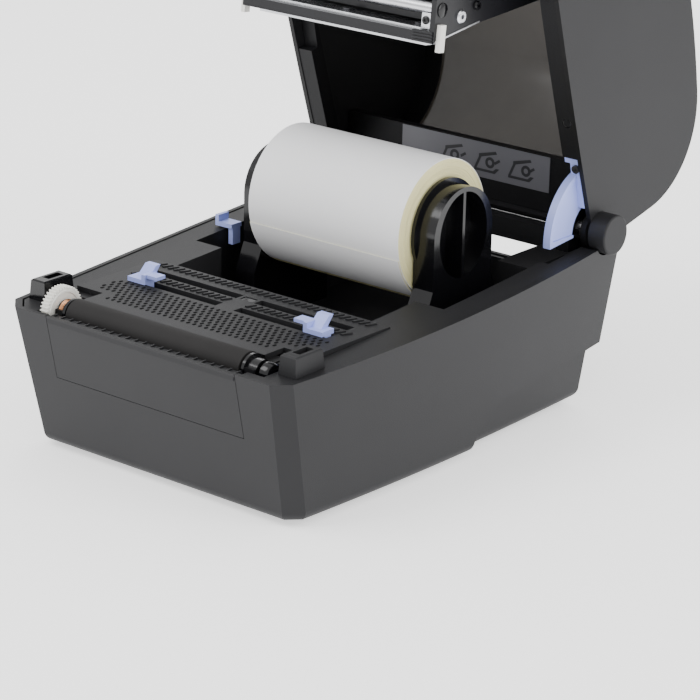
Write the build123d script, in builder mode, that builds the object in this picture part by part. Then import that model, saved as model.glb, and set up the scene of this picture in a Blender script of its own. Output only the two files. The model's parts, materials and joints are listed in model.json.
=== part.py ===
from build123d import *

import math
import os

# Desktop thermal transfer label printer with its lid open, as an assembly of separate pieces.
# Millimetres, +Z up, front towards -Y, X across the printer. Z = 0 is the surface it stands on.
# The lid and the print module are modelled shut, then turned to the open position.

os.makedirs("parts", exist_ok=True)

# ---- driving dimensions -------------------------------------------------------------------
BASE_FRONT_Y = -168.0  # front face at the seam
BASE_DEPTH = 263.0
FRONT_HALF = 84.0  # half width of the front face between its corner bevels
CORNER_BEVEL = 8.0
SIDE_HALF = 100.0  # half width at the widest place of the sides
REAR_HALF = 96.5
REAR_ROUND = 12.0
FOOT_H = 2.5
SIDE_DRAFT = 9.0  # how far each wall leans in from the seam down to the floor
FRONT_DRAFT = 17.0
FRONT_TRIM_SHARE = 0.5  # share of the side lean at the two front corners
REAR_DRAFT = 6.0
BOTTOM_ROUND = 6.0
WALL = 2.6
FLOOR_T = 3.0
SEAM_FRONT_Z = 77.5  # the seam rises to the rear along one arc
SEAM_MID_Z = 82.0
SEAM_REAR_Z = 92.5
LOFT_TOP_Z = 96.0
SEAM_GAP = 0.6
RECESS_H = 36.0  # lower band at the rear that steps in
RECESS_SIDE = 4.5
RECESS_REAR = 5.0
RECESS_START = 150.0  # from the front
GAP = 0.3  # clearance between fixed pieces that seat in each other
RUN = 0.05  # radial clearance of a running fit

PLATEN_FROM_FRONT = 17.5
PLATEN_Z = 75.4
PLATEN_R = 8.0
PLATEN_HALF = 57.0
SHAFT_R = 3.0
BUSH_R = 6.0
BUSH_L = 8.0
GEAR_MODULE = 0.6
PLATEN_TEETH = 40
IDLER_TEETH = 40
PINION_TEETH = 14
GEAR_W = 5.0
GEAR_BACKLASH = 0.16
GEAR_MESH_EASE = 0.12
IDLER_ANGLE = -55.0  # direction from the platen axis to the idler, in the YZ plane
PINION_ANGLE = -50.0
MOTOR_SIZE = 35.0
MOTOR_L = 24.0

PANEL_HALF = 62.0
PANEL_DROP = 34.0  # the front panel reaches this far below the seam
PANEL_T = 2.4
PANEL_TOP_DEPTH = 9.0
PANEL_RIB_PITCH = 5.5

POST_OUT_X = 88.0
POST_W = 11.0
POST_D = 21.0
POST_FROM_FRONT = 15.0
POST_H = 10.2

PLATFORM_FROM_FRONT = 27.0
PLATFORM_DEPTH = 70.0
PLATFORM_HALF = 78.0
PLATFORM_FRONT_HALF = 60.0
PLATFORM_T = 2.5
PLATFORM_RISE = 1.7
SLOT_W = 6.0
SLOT_HALF = 66.0
SLOT_FROM_FRONT = (66.0, 81.5)
RAIL_R = 1.4

GUIDE_HALF = 52.5  # where each paper guide's face stands at rest
GUIDE_W = 12.0
GUIDE_D = 9.0
GUIDE_H = 8.0

BAY_NARROW_HALF = 65.0
BAY_WIDE_HALF = 83.0
BAY_FROM_FRONT = 99.0
BAY_WIDE_FROM_FRONT = 133.0
BAY_REAR_FROM_FRONT = 254.0
BAY_FLOOR_Z = 40.0
TUB_WALL = 2.0
DECK_T = 2.5
BLOCK_HALF = 62.0
BLOCK_FROM_FRONT = 205.0

ROLL_HALF = 50.0
ROLL_R = 36.0
ROLL_CORE_R = 16.0
ROLL_BORE_R = 12.8
ROLL_FROM_FRONT = 173.0
ROLL_Z = 108.0
HUB_R = 12.5
HUB_L = 14.0
DISC_R = 26.5
DISC_T = 2.0
HOLDER_T = 13.0
HOLDER_HALF = 24.0
HOLDER_FOOT_HALF = 30.0
HOLDER_WALL = 2.4

HINGE_FROM_FRONT = 251.0
HINGE_Z = 97.5
HINGE_R = 10.0
HINGE_CAP_R = 10.6
HINGE_CAP_T = 10.5
HINGE_PIN_R = 4.0
STAY_IN_R = 15.0
STAY_OUT_R = 35.5
STAY_X = 85.0
STAY_T = 2.6
OPEN_ANGLE = 77.0  # the lid turns this far from shut to its open stop
MODULE_SWING = 71.0  # and the print module drops this far from the lid

LID_HALF = 93.0
LID_WALL = 2.6
LID_REAR_FROM_FRONT = 259.0
LID_REAR_TOP_Z = 145.0
LID_REAR_R = 50.0
LID_TOP_R = 420.0
LID_FRONT_R = 70.0
LID_REAR_ARC = 86.0
LID_TOP_ARC = 22.0
LID_FRONT_ARC = 62.0
LID_EDGE_ROUND = 5.0
RIM_W = 12.0
RIM_H = 9.0
WINDOW_HALF = 78.0
WINDOW_LOW_Z = 157.0
WINDOW_FRONT_FROM_FRONT = 95.0

BUTTON_X = 60.0
BUTTON_FROM_FRONT = 52.0
BUTTON_R = 6.5

MODULE_HALF = 62.0
MODULE_PLATE_T = 3.0
MODULE_PIVOT_FROM_FRONT = 111.0
MODULE_PIVOT_Z = 127.0
TENSION_BAR_R = 3.2
SPINDLE_R = 6.0

# ---- places worked out from them ------------------------------------------------------------
REAR_Y = BASE_FRONT_Y + BASE_DEPTH
MID_Y = (BASE_FRONT_Y + REAR_Y) / 2
PLATEN_Y = BASE_FRONT_Y + PLATEN_FROM_FRONT
PLATFORM_Y0 = BASE_FRONT_Y + PLATFORM_FROM_FRONT
PLATFORM_Y1 = PLATFORM_Y0 + PLATFORM_DEPTH
BAY_Y0 = BASE_FRONT_Y + BAY_FROM_FRONT
BAY_WIDE_Y0 = BASE_FRONT_Y + BAY_WIDE_FROM_FRONT
BAY_Y1 = BASE_FRONT_Y + BAY_REAR_FROM_FRONT
BLOCK_Y0 = BASE_FRONT_Y + BLOCK_FROM_FRONT
ROLL_Y = BASE_FRONT_Y + ROLL_FROM_FRONT
HINGE_Y = BASE_FRONT_Y + HINGE_FROM_FRONT
PIVOT_Y = BASE_FRONT_Y + MODULE_PIVOT_FROM_FRONT
POST_Y = BASE_FRONT_Y + POST_FROM_FRONT + POST_D / 2
POST_X = POST_OUT_X - POST_W / 2
SLOT_Y = [BASE_FRONT_Y + s for s in SLOT_FROM_FRONT]
WIDE = 400.0  # longer than the printer, for cutting prisms

BUTTON_Y = BASE_FRONT_Y + BUTTON_FROM_FRONT

HINGE_AXIS = Axis((0, HINGE_Y, HINGE_Z), (1, 0, 0))
PIVOT_AXIS = Axis((0, PIVOT_Y, MODULE_PIVOT_Z), (1, 0, 0))


def seam_z(y):
    """Height of the seam arc at y."""
    ax, az = BASE_FRONT_Y, SEAM_FRONT_Z
    bx, bz = MID_Y, SEAM_MID_Z
    cx, cz = REAR_Y, SEAM_REAR_Z
    slope_ab = (bz - az) / (bx - ax)
    slope_ac = (cz - az) / (cx - ax)
    bend = (slope_ac - slope_ab) / (cx - bx)
    return az + slope_ab * (y - ax) + bend * (y - ax) * (y - bx)


DECK_Z = seam_z((PLATFORM_Y0 + PLATFORM_Y1) / 2)
PLATFORM_TOP = DECK_Z + PLATFORM_RISE
RAIL_Z = PLATFORM_TOP - PLATFORM_T / 2


def save(piece, name):
    """Writes one finished piece as parts/NAME.step."""
    piece.label = name
    export_step(piece, f"parts/{name}.step")


def save_lid(piece, name):
    """Turns a piece that is modelled shut to the open position and writes it."""
    save(piece.rotate(HINGE_AXIS, -OPEN_ANGLE), name)


def save_module(piece, name):
    """Drops a print-module piece from the lid, turns it with the lid, and writes it."""
    save(piece.rotate(PIVOT_AXIS, MODULE_SWING).rotate(HINGE_AXIS, -OPEN_ANGLE), name)


def block(x0, x1, y0, y1, z0, z1, mode=Mode.ADD):
    """A box between two corners, inside the current part."""
    with Locations(((x0 + x1) / 2, (y0 + y1) / 2, (z0 + z1) / 2)):
        Box(abs(x1 - x0), abs(y1 - y0), abs(z1 - z0), mode=mode)


def rod(x0, x1, y, z, radius, mode=Mode.ADD):
    """A cylinder along X, inside the current part."""
    with Locations(Location(((x0 + x1) / 2, y, z), (0, 90, 0))):
        Cylinder(radius, abs(x1 - x0), mode=mode)


def outline(inset, side_in, front_in, rear_in):
    """The base's plan outline as a flat face of lines and arcs."""
    front = BASE_FRONT_Y + front_in + inset
    rear = REAR_Y - rear_in - inset
    trim = side_in + inset
    front_trim = side_in * FRONT_TRIM_SHARE + inset
    bevel_y = front + CORNER_BEVEL
    bevel_x = FRONT_HALF + CORNER_BEVEL - front_trim
    front_x = FRONT_HALF - front_trim
    rear_x = REAR_HALF - trim
    with BuildSketch() as plan:
        with BuildLine():
            Line((-front_x, front), (front_x, front))
            Line((front_x, front), (bevel_x, bevel_y))
            ThreePointArc((bevel_x, bevel_y), (SIDE_HALF - trim, MID_Y), (rear_x, rear))
            Line((rear_x, rear), (-rear_x, rear))
            ThreePointArc((-rear_x, rear), (trim - SIDE_HALF, MID_Y), (-bevel_x, bevel_y))
            Line((-bevel_x, bevel_y), (-front_x, front))
        make_face()
    return plan.sketch


def base_body(inset, z_low, extra_side=0.0, extra_rear=0.0):
    """The drafted body of the base, inset by a wall, from z_low up to above the seam."""
    seam = SEAM_MID_Z
    with BuildPart() as body:
        for z in (z_low, LOFT_TOP_Z):
            lean = (seam - z) / (seam - FOOT_H)
            plan = outline(
                inset,
                SIDE_DRAFT * lean + extra_side,
                FRONT_DRAFT * lean,
                REAR_DRAFT * lean + extra_rear,
            )
            with BuildSketch(Plane.XY.offset(z)):
                add(plan)
        loft(ruled=True)
    return body.part


def seam_prism(z_shift, half=WIDE / 2, thickness=None):
    """Everything under the seam arc shifted by z_shift, or a band of that thickness below it."""
    points = [
        (y, seam_z(y) + z_shift)
        for y in (BASE_FRONT_Y - 20, MID_Y, REAR_Y + 20)
    ]
    with BuildPart() as prism:
        with BuildSketch(Plane.YZ):
            with BuildLine():
                ThreePointArc(*points)
                if thickness is None:
                    Polyline(points[2], (points[2][0], -50), (points[0][0], -50), points[0])
                else:
                    lower = [(y, z - thickness) for y, z in points]
                    Line(points[2], lower[2])
                    ThreePointArc(lower[2], lower[1], lower[0])
                    Line(lower[0], points[0])
            make_face()
        extrude(amount=half, both=True)
    return prism.part


def gear(teeth, width, bore, phase, y, z, x_mid):
    """A spur gear about an axis along X, with trapezoid teeth thinned for backlash."""
    pitch = GEAR_MODULE * teeth / 2
    tip = pitch + 0.85 * GEAR_MODULE
    root = pitch - 1.2 * GEAR_MODULE
    thick = math.pi * GEAR_MODULE / 2 - GEAR_BACKLASH
    slope = math.tan(math.radians(20))
    points = []
    for i in range(teeth):
        middle = math.radians(phase + 360 * i / teeth)
        for radius, side in ((root, -1), (tip, -1), (tip, 1), (root, 1)):
            half = (thick / 2 - (radius - pitch) * slope) / radius
            angle = middle + side * half
            points.append((radius * math.cos(angle), radius * math.sin(angle)))
    plane = Plane(origin=(x_mid - width / 2, y, z), x_dir=(0, 1, 0), z_dir=(1, 0, 0))
    with BuildPart() as wheel:
        with BuildSketch(plane):
            with BuildLine():
                Polyline(*points, close=True)
            make_face()
            Circle(bore, mode=Mode.SUBTRACT)
        extrude(amount=width)
    return wheel.part


def screw(x, y, z, z_dir, head_r=2.6, head_h=1.6, shank_r=1.3, shank_l=6.0):
    """A pan-head screw whose head stands on (x, y, z) and points along z_dir."""
    plane = Plane(origin=(x, y, z), z_dir=z_dir)
    with BuildPart() as bolt:
        with BuildSketch(plane):
            Circle(head_r)
        extrude(amount=head_h)
        with BuildSketch(plane.offset(head_h)):
            Rectangle(head_r * 1.2, 0.6)
            Rectangle(0.6, head_r * 1.2)
        extrude(amount=-0.7, mode=Mode.SUBTRACT)
        with BuildSketch(plane):
            Circle(shank_r)
        extrude(amount=-shank_l)
    return bolt.part


def group(parts, name):
    """Several separate solids as one compound with a name."""
    return Compound(label=name, children=list(parts))


# ---- bottom case ----------------------------------------------------------------------------
outer = base_body(0, FOOT_H)
outer = fillet(outer.edges().group_by(Axis.Z)[0], BOTTOM_ROUND)
under_seam = seam_prism(0)
inner = base_body(WALL, FOOT_H + FLOOR_T)
recess_y = BASE_FRONT_Y + RECESS_START
with BuildPart() as recess_zone:
    with BuildSketch(Plane.YZ):
        with BuildLine():
            Line((recess_y, -5), (recess_y, FOOT_H))
            ThreePointArc(
                (recess_y, FOOT_H),
                (recess_y + 5, RECESS_H * 0.45),
                (recess_y + 18, RECESS_H * 0.72),
            )
            Line((recess_y + 18, RECESS_H * 0.72), (REAR_Y + 20, RECESS_H))
            Polyline((REAR_Y + 20, RECESS_H), (REAR_Y + 20, -5), (recess_y, -5))
        make_face()
    extrude(amount=WIDE / 2, both=True)
recess_core = base_body(0, FOOT_H, RECESS_SIDE, RECESS_REAR)
recess_core = fillet(recess_core.edges().group_by(Axis.Z)[0], BOTTOM_ROUND)
inner_core = base_body(WALL, FOOT_H + FLOOR_T, RECESS_SIDE, RECESS_REAR)
shell_front = outer & under_seam
shell_body = shell_front - (recess_zone.part - recess_core)
hollow = (inner - recess_zone.part) + (inner_core & recess_zone.part)

PORT_Z = 22.0
PORT_FACE_Y = REAR_Y - RECESS_REAR - REAR_DRAFT * (SEAM_MID_Z - PORT_Z) / (SEAM_MID_Z - FOOT_H)
PORTS = {  # name: (x, width, height)
    "dc_socket": (-62.0, 11.0, 9.0),
    "usb_socket": (-42.0, 12.2, 10.8),
}
SWITCH_X = 62.0
SWITCH_W = 20.0
SWITCH_H = 13.0
FANFOLD_HALF = 56.0
FANFOLD_Z = (68.0, 80.0)
TRAIN_X = -68.0
GEAR_SLOT_HALF = 4.0


def panel_cut(grow):
    """The prism that the front panel fills, grown by a clearance."""
    top = SEAM_FRONT_Z + 10
    with BuildPart() as cut:
        block(
            -PANEL_HALF - grow,
            PANEL_HALF + grow,
            BASE_FRONT_Y - 10,
            BASE_FRONT_Y + FRONT_DRAFT + 2,
            SEAM_FRONT_Z - PANEL_DROP - grow,
            top,
        )
    return cut.part


with BuildPart() as bottom_case:
    add(shell_body)
    add(hollow, mode=Mode.SUBTRACT)
    # Opening behind the front panel.
    add(panel_cut(GAP), mode=Mode.SUBTRACT)
    # Fanfold slot in the rear wall.
    block(-FANFOLD_HALF, FANFOLD_HALF, REAR_Y - 30, REAR_Y + 10, *FANFOLD_Z, mode=Mode.SUBTRACT)
    for x, w, h in PORTS.values():
        block(
            x - w / 2 - GAP,
            x + w / 2 + GAP,
            PORT_FACE_Y - 22,
            REAR_Y + 10,
            PORT_Z - h / 2 - GAP,
            PORT_Z + h / 2 + GAP,
            mode=Mode.SUBTRACT,
        )
    block(
        SWITCH_X - SWITCH_W / 2 - GAP,
        SWITCH_X + SWITCH_W / 2 + GAP,
        PORT_FACE_Y - 22,
        REAR_Y + 10,
        PORT_Z - SWITCH_H / 2 - GAP,
        PORT_Z + SWITCH_H / 2 + GAP,
        mode=Mode.SUBTRACT,
    )
    # Round notches in the side walls under the hinge caps.
    rod(-WIDE / 2, -STAY_X - 1, HINGE_Y, HINGE_Z, HINGE_CAP_R + 1, Mode.SUBTRACT)
    rod(STAY_X + 1, WIDE / 2, HINGE_Y, HINGE_Z, HINGE_CAP_R + 1, Mode.SUBTRACT)
    # Relief in the rear wall for the lid's lower edge when it stands open.
    relief_half = LID_HALF + 1
    block(-relief_half, relief_half, HINGE_Y + 8, REAR_Y + 5, HINGE_Z - 6.6, LOFT_TOP_Z + 5, Mode.SUBTRACT)
    # Screw bosses that carry the deck cover.
    BOSSES = [(x, y) for x in (-72.0, 72.0) for y in (BASE_FRONT_Y + 60, BASE_FRONT_Y + 118)]
    boss_top = BAY_FLOOR_Z - 6
    for x, y in BOSSES:
        with Locations((x, y, (FOOT_H + boss_top) / 2 + 1)):
            Cylinder(4.5, boss_top - FOOT_H - 2)
        with Locations((x, y, FOOT_H + boss_top / 2)):
            Cylinder(1.35, boss_top, mode=Mode.SUBTRACT)
        with Locations((x, y, FOOT_H + 1.0)):
            Cylinder(3.2, 2.4, mode=Mode.SUBTRACT)
save(bottom_case.part, "bottom_case")
save(
    group(
        [screw(x, y, FOOT_H + 2.2, (0, 0, -1), shank_l=12.0) for x, y in BOSSES],
        "case_screws",
    ),
    "case_screws",
)

# ---- rubber feet ------------------------------------------------------------------------------
FOOT_R = 7.0
FEET = [(x, y) for x in (-66.0, 66.0) for y in (BASE_FRONT_Y + 36, REAR_Y - 30)]
feet = []
for x, y in FEET:
    with BuildPart() as foot:
        with BuildSketch():
            with Locations((x, y)):
                Circle(FOOT_R)
        extrude(amount=FOOT_H)
        chamfer(foot.edges().group_by(Axis.Z)[0], 0.6)
    feet.append(foot.part)
save(group(feet, "rubber_feet"), "rubber_feet")

# ---- front panel --------------------------------------------------------------------------------
panel_skin = (base_body(0.0, FOOT_H) - base_body(PANEL_T, FOOT_H - 1)) & panel_cut(0)
ramp_top = PLATEN_Z + 2.0
with BuildPart() as front_panel:
    add(panel_skin)
    block(-WIDE, WIDE, BASE_FRONT_Y - 20, BASE_FRONT_Y + 40, ramp_top, LOFT_TOP_Z + 5, mode=Mode.SUBTRACT)
    # Ramp behind the top edge, with ribs that run from the platen to the front.
    block(
        -PANEL_HALF + 0.5,
        PANEL_HALF - 0.5,
        BASE_FRONT_Y + 1.2,
        BASE_FRONT_Y + PANEL_TOP_DEPTH - 1.5,
        ramp_top - 3.2,
        ramp_top - 0.8,
    )
    rib_count = int(2 * PANEL_HALF / PANEL_RIB_PITCH)
    for i in range(rib_count + 1):
        x = (i - rib_count / 2) * PANEL_RIB_PITCH
        block(
            x - 0.5,
            x + 0.5,
            BASE_FRONT_Y + 1.2,
            BASE_FRONT_Y + PANEL_TOP_DEPTH - 1.5,
            ramp_top - 3.2,
            ramp_top,
        )
save(front_panel.part, "front_panel")

# ---- deck cover: the top of the base with the media bay hanging from it ----------------------
deck_band = seam_prism(-0.4, thickness=DECK_T) & base_body(WALL + SEAM_GAP, 10)
tub_bottom = BAY_FLOOR_Z - TUB_WALL
with BuildPart() as tub:
    block(
        -BAY_NARROW_HALF - TUB_WALL,
        BAY_NARROW_HALF + TUB_WALL,
        BAY_Y0 - TUB_WALL,
        BAY_WIDE_Y0 + 1,
        tub_bottom,
        LOFT_TOP_Z,
    )
    block(
        -BAY_WIDE_HALF - TUB_WALL,
        BAY_WIDE_HALF + TUB_WALL,
        BAY_WIDE_Y0 - TUB_WALL,
        BAY_Y1 + TUB_WALL,
        tub_bottom,
        LOFT_TOP_Z,
    )
    block(-BAY_NARROW_HALF, BAY_NARROW_HALF, BAY_Y0, BAY_WIDE_Y0 + 1, BAY_FLOOR_Z, LOFT_TOP_Z, Mode.SUBTRACT)
    block(-BAY_WIDE_HALF, BAY_WIDE_HALF, BAY_WIDE_Y0, BAY_Y1, BAY_FLOOR_Z, LOFT_TOP_Z, Mode.SUBTRACT)
tub_trim = tub.part & seam_prism(-1.0) & base_body(WALL + GAP, 10)
HINGE_SEAT_Z = seam_z(BLOCK_Y0) - 1.5
with BuildPart() as tub_void:
    block(-BAY_NARROW_HALF, BAY_NARROW_HALF, BAY_Y0, BAY_WIDE_Y0 + 1, BAY_FLOOR_Z, LOFT_TOP_Z)
    block(-BAY_WIDE_HALF, BAY_WIDE_HALF, BAY_WIDE_Y0, BAY_Y1, BAY_FLOOR_Z, LOFT_TOP_Z)
stay_slot_y0 = HINGE_Y - STAY_OUT_R - 2
with BuildPart() as deck_cover:
    add(deck_band - tub_void.part)
    add(tub_trim)
    # Corner blocks at the rear carry the hinges; the right one is slotted for the lid stay.
    for side in (-1, 1):
        x0, x1 = sorted((side * BLOCK_HALF, side * (BAY_WIDE_HALF + TUB_WALL)))
        block(x0, x1, BLOCK_Y0, BAY_Y1 + TUB_WALL, BAY_FLOOR_Z - 1, HINGE_SEAT_Z)
        if side > 0:
            stay_slot_z0 = HINGE_Z - STAY_OUT_R - 3
            block(STAY_X - 3, STAY_X + 3, stay_slot_y0, HINGE_Y + 4, stay_slot_z0, LOFT_TOP_Z, Mode.SUBTRACT)
        x0, x1 = sorted((side * (STAY_X - 12), side * (STAY_X - 4.4)))
        block(x0, x1, HINGE_Y - HINGE_R, HINGE_Y + HINGE_R - 4, HINGE_SEAT_Z, LOFT_TOP_Z, Mode.SUBTRACT)
        x0, x1 = sorted((side * (STAY_X - 12), side * WIDE / 2))
        rod(x0, x1, HINGE_Y, HINGE_Z, HINGE_CAP_R + 1, Mode.SUBTRACT)
    # Well for the platform, the platen and its gear.
    block(
        -PLATFORM_FRONT_HALF - 4,
        PLATFORM_FRONT_HALF + 4,
        BASE_FRONT_Y - 5,
        PLATFORM_Y0 + 12,
        SEAM_FRONT_Z - 12,
        LOFT_TOP_Z,
        Mode.SUBTRACT,
    )
    block(
        -PLATFORM_HALF - GAP,
        PLATFORM_HALF + GAP,
        PLATFORM_Y0 + 11,
        PLATFORM_Y1 + GAP,
        PLATFORM_TOP - PLATFORM_T - GAP,
        LOFT_TOP_Z,
        Mode.SUBTRACT,
    )
    block(
        -SLOT_HALF - 2,
        SLOT_HALF + 2,
        SLOT_Y[0] - 8,
        SLOT_Y[1] + 6,
        SEAM_FRONT_Z - 20,
        LOFT_TOP_Z,
        Mode.SUBTRACT,
    )
    block(
        TRAIN_X - GEAR_SLOT_HALF,
        -PLATFORM_FRONT_HALF,
        PLATEN_Y - 15,
        PLATEN_Y + 16,
        SEAM_FRONT_Z - 12,
        LOFT_TOP_Z,
        Mode.SUBTRACT,
    )
    block(
        TRAIN_X - GEAR_SLOT_HALF,
        PLATEN_HALF + 17,
        PLATEN_Y - 9,
        PLATEN_Y + 9,
        SEAM_FRONT_Z - 12,
        LOFT_TOP_Z,
        Mode.SUBTRACT,
    )
    block(
        0,
        PLATEN_HALF + 1 + BUSH_L + GAP,
        PLATEN_Y,
        PLATEN_Y + 16 + GAP,
        SEAM_FRONT_Z - 12,
        LOFT_TOP_Z,
        Mode.SUBTRACT,
    )
    rod(-WIDE / 2, WIDE / 2, SLOT_Y[0], PLATFORM_TOP - PLATFORM_T - 2.2, RAIL_R, Mode.SUBTRACT)
    # Slots in the bay floor for the two roll holders.
    for y in (ROLL_Y - 12, ROLL_Y + 12):
        block(-BAY_WIDE_HALF + 1, BAY_WIDE_HALF - 1, y - 2.2, y + 2.2, BAY_FLOOR_Z - 3, BAY_FLOOR_Z + 1, Mode.SUBTRACT)
    block(-FANFOLD_HALF, FANFOLD_HALF, BAY_Y1 - 2, REAR_Y, *FANFOLD_Z, Mode.SUBTRACT)
save(deck_cover.part, "deck_cover")

# ---- latch posts at the front corners -----------------------------------------------------------
for side, name in ((-1, "latch_post_left"), (1, "latch_post_right")):
    post_low = seam_z(POST_Y) - 0.4
    with BuildPart() as post:
        with BuildSketch(Plane.XY.offset(post_low - 1)):
            with Locations((side * POST_X, POST_Y)):
                Rectangle(POST_W, POST_D)
        extrude(amount=POST_H + 1, taper=4)
        chamfer(post.edges().group_by(Axis.Z)[-1], 0.7)
        with BuildSketch(Plane.XY.offset(post_low + POST_H + 1)):
            with Locations((side * POST_X, POST_Y + 1)):
                Rectangle(POST_W * 0.42, POST_D * 0.5)
        extrude(amount=-POST_H * 0.85, mode=Mode.SUBTRACT)
        # Foot that follows the deck.
        add(seam_prism(-0.3), mode=Mode.SUBTRACT)
    save(post.part, name)

# ---- platen roller, shaft, bushes and gear train ------------------------------------------------
BUSH_X = PLATEN_HALF + 1.0
with BuildPart() as platen_roller:
    rod(-PLATEN_HALF, PLATEN_HALF, PLATEN_Y, PLATEN_Z, PLATEN_R)
    rod(-PLATEN_HALF, PLATEN_HALF, PLATEN_Y, PLATEN_Z, SHAFT_R, Mode.SUBTRACT)
save(platen_roller.part, "platen_roller")
with BuildPart() as platen_shaft:
    rod(TRAIN_X - GEAR_W / 2 - 1.5, BUSH_X + BUSH_L + 3, PLATEN_Y, PLATEN_Z, SHAFT_R)
save(platen_shaft.part, "platen_shaft")
for side, name in ((-1, "platen_bush_left"), (1, "platen_bush_right")):
    length = BUSH_L if side > 0 else TRAIN_X * -1 - GEAR_W / 2 - BUSH_X - 0.6
    x0, x1 = sorted((side * BUSH_X, side * (BUSH_X + length)))
    with BuildPart() as bush:
        rod(x0, x1, PLATEN_Y, PLATEN_Z, BUSH_R)
        flange0, flange1 = sorted((side * (BUSH_X + 0.2), side * (BUSH_X + 1.8)))
        rod(flange0, flange1, PLATEN_Y, PLATEN_Z, BUSH_R + 1.6)
        rod(x0 - 1, x1 + 1, PLATEN_Y, PLATEN_Z, SHAFT_R + RUN, Mode.SUBTRACT)
    save(bush.part, name)

# Carrier that seats both bushes, with a beam behind the roller under the platform.
CARRIER_LEFT = -TRAIN_X - GEAR_W / 2 - 0.6
CARRIER_RIGHT = BUSH_X + BUSH_L
CARRIER_TOP = PLATFORM_TOP - PLATFORM_T
with BuildPart() as platen_carrier:
    block(-CARRIER_LEFT, CARRIER_RIGHT, PLATEN_Y + 9.5, PLATEN_Y + 16, PLATEN_Z - 9, CARRIER_TOP)
    for x0, x1 in ((-CARRIER_LEFT, -BUSH_X), (BUSH_X, CARRIER_RIGHT)):
        block(x0, x1, PLATEN_Y - 7, PLATEN_Y + 16, PLATEN_Z - 10, CARRIER_TOP)
        block(x0, x1, PLATEN_Y - 7, PLATEN_Y + 7, PLATEN_Z - 10, PLATEN_Z + 1.5)
    for x0, x1 in ((-CARRIER_LEFT - 1, -BUSH_X + 1), (BUSH_X - 1, CARRIER_RIGHT + 1)):
        rod(x0, x1, PLATEN_Y, PLATEN_Z, BUSH_R + 0.02, Mode.SUBTRACT)
    for side in (-1, 1):
        rod(side * BUSH_X, side * (BUSH_X + 1.9), PLATEN_Y, PLATEN_Z, BUSH_R + 1.8, Mode.SUBTRACT)
save(platen_carrier.part, "platen_carrier")


def around(y, z, angle, distance):
    """The point at that angle and distance from (y, z)."""
    a = math.radians(angle)
    return y + distance * math.cos(a), z + distance * math.sin(a)


mesh_1 = GEAR_MODULE * (PLATEN_TEETH + IDLER_TEETH) / 2 + GEAR_MESH_EASE
mesh_2 = GEAR_MODULE * (IDLER_TEETH + PINION_TEETH) / 2 + GEAR_MESH_EASE
IDLER_Y, IDLER_Z = around(PLATEN_Y, PLATEN_Z, IDLER_ANGLE, mesh_1)
PINION_Y, PINION_Z = around(IDLER_Y, IDLER_Z, PINION_ANGLE, mesh_2)
# A tooth of the driver points at a gap of the driven gear along each line of centres.
platen_phase = IDLER_ANGLE
idler_phase = IDLER_ANGLE + 180 + 180 / IDLER_TEETH
steps = (PINION_ANGLE - idler_phase) / (360 / IDLER_TEETH)
offset_from_tooth = (steps - round(steps)) * (360 / IDLER_TEETH)
pinion_phase = PINION_ANGLE + 180 + 180 / PINION_TEETH + offset_from_tooth * IDLER_TEETH / PINION_TEETH
save(gear(PLATEN_TEETH, GEAR_W, SHAFT_R, platen_phase, PLATEN_Y, PLATEN_Z, TRAIN_X), "platen_gear")
save(gear(IDLER_TEETH, GEAR_W - 1, 2.0 + RUN, idler_phase, IDLER_Y, IDLER_Z, TRAIN_X), "idler_gear")
save(gear(PINION_TEETH, GEAR_W + 1, 1.5, pinion_phase, PINION_Y, PINION_Z, TRAIN_X), "motor_pinion")
MOTOR_X0 = TRAIN_X + GEAR_W / 2 + 4.0
with BuildPart() as motor:
    block(
        MOTOR_X0,
        MOTOR_X0 + MOTOR_L,
        PINION_Y - MOTOR_SIZE / 2,
        PINION_Y + MOTOR_SIZE / 2,
        PINION_Z - MOTOR_SIZE / 2,
        PINION_Z + MOTOR_SIZE / 2,
    )
    chamfer(motor.edges().filter_by(Axis.X), 3.0)
    rod(MOTOR_X0 - 1.5, MOTOR_X0, PINION_Y, PINION_Z, 9.0)
    rod(MOTOR_X0 - 3, MOTOR_X0 + 4, PINION_Y, PINION_Z, 2.0, Mode.SUBTRACT)
save(motor.part, "stepper_motor")
with BuildPart() as motor_shaft:
    rod(TRAIN_X - GEAR_W / 2 - 1, MOTOR_X0 + 3.5, PINION_Y, PINION_Z, 1.5)
save(motor_shaft.part, "motor_shaft")
with BuildPart() as train_plate:
    block(
        MOTOR_X0 - 1.5,
        MOTOR_X0,
        PINION_Y - 17,
        PINION_Y + 17,
        FOOT_H + FLOOR_T,
        PLATEN_Z - 12,
    )
    rod(MOTOR_X0 - 2, MOTOR_X0 + 1, PINION_Y, PINION_Z, 9.0, Mode.SUBTRACT)
    rod(TRAIN_X - GEAR_W / 2, MOTOR_X0, IDLER_Y, IDLER_Z, 2.0)
save(train_plate.part, "gear_train_plate")

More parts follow.
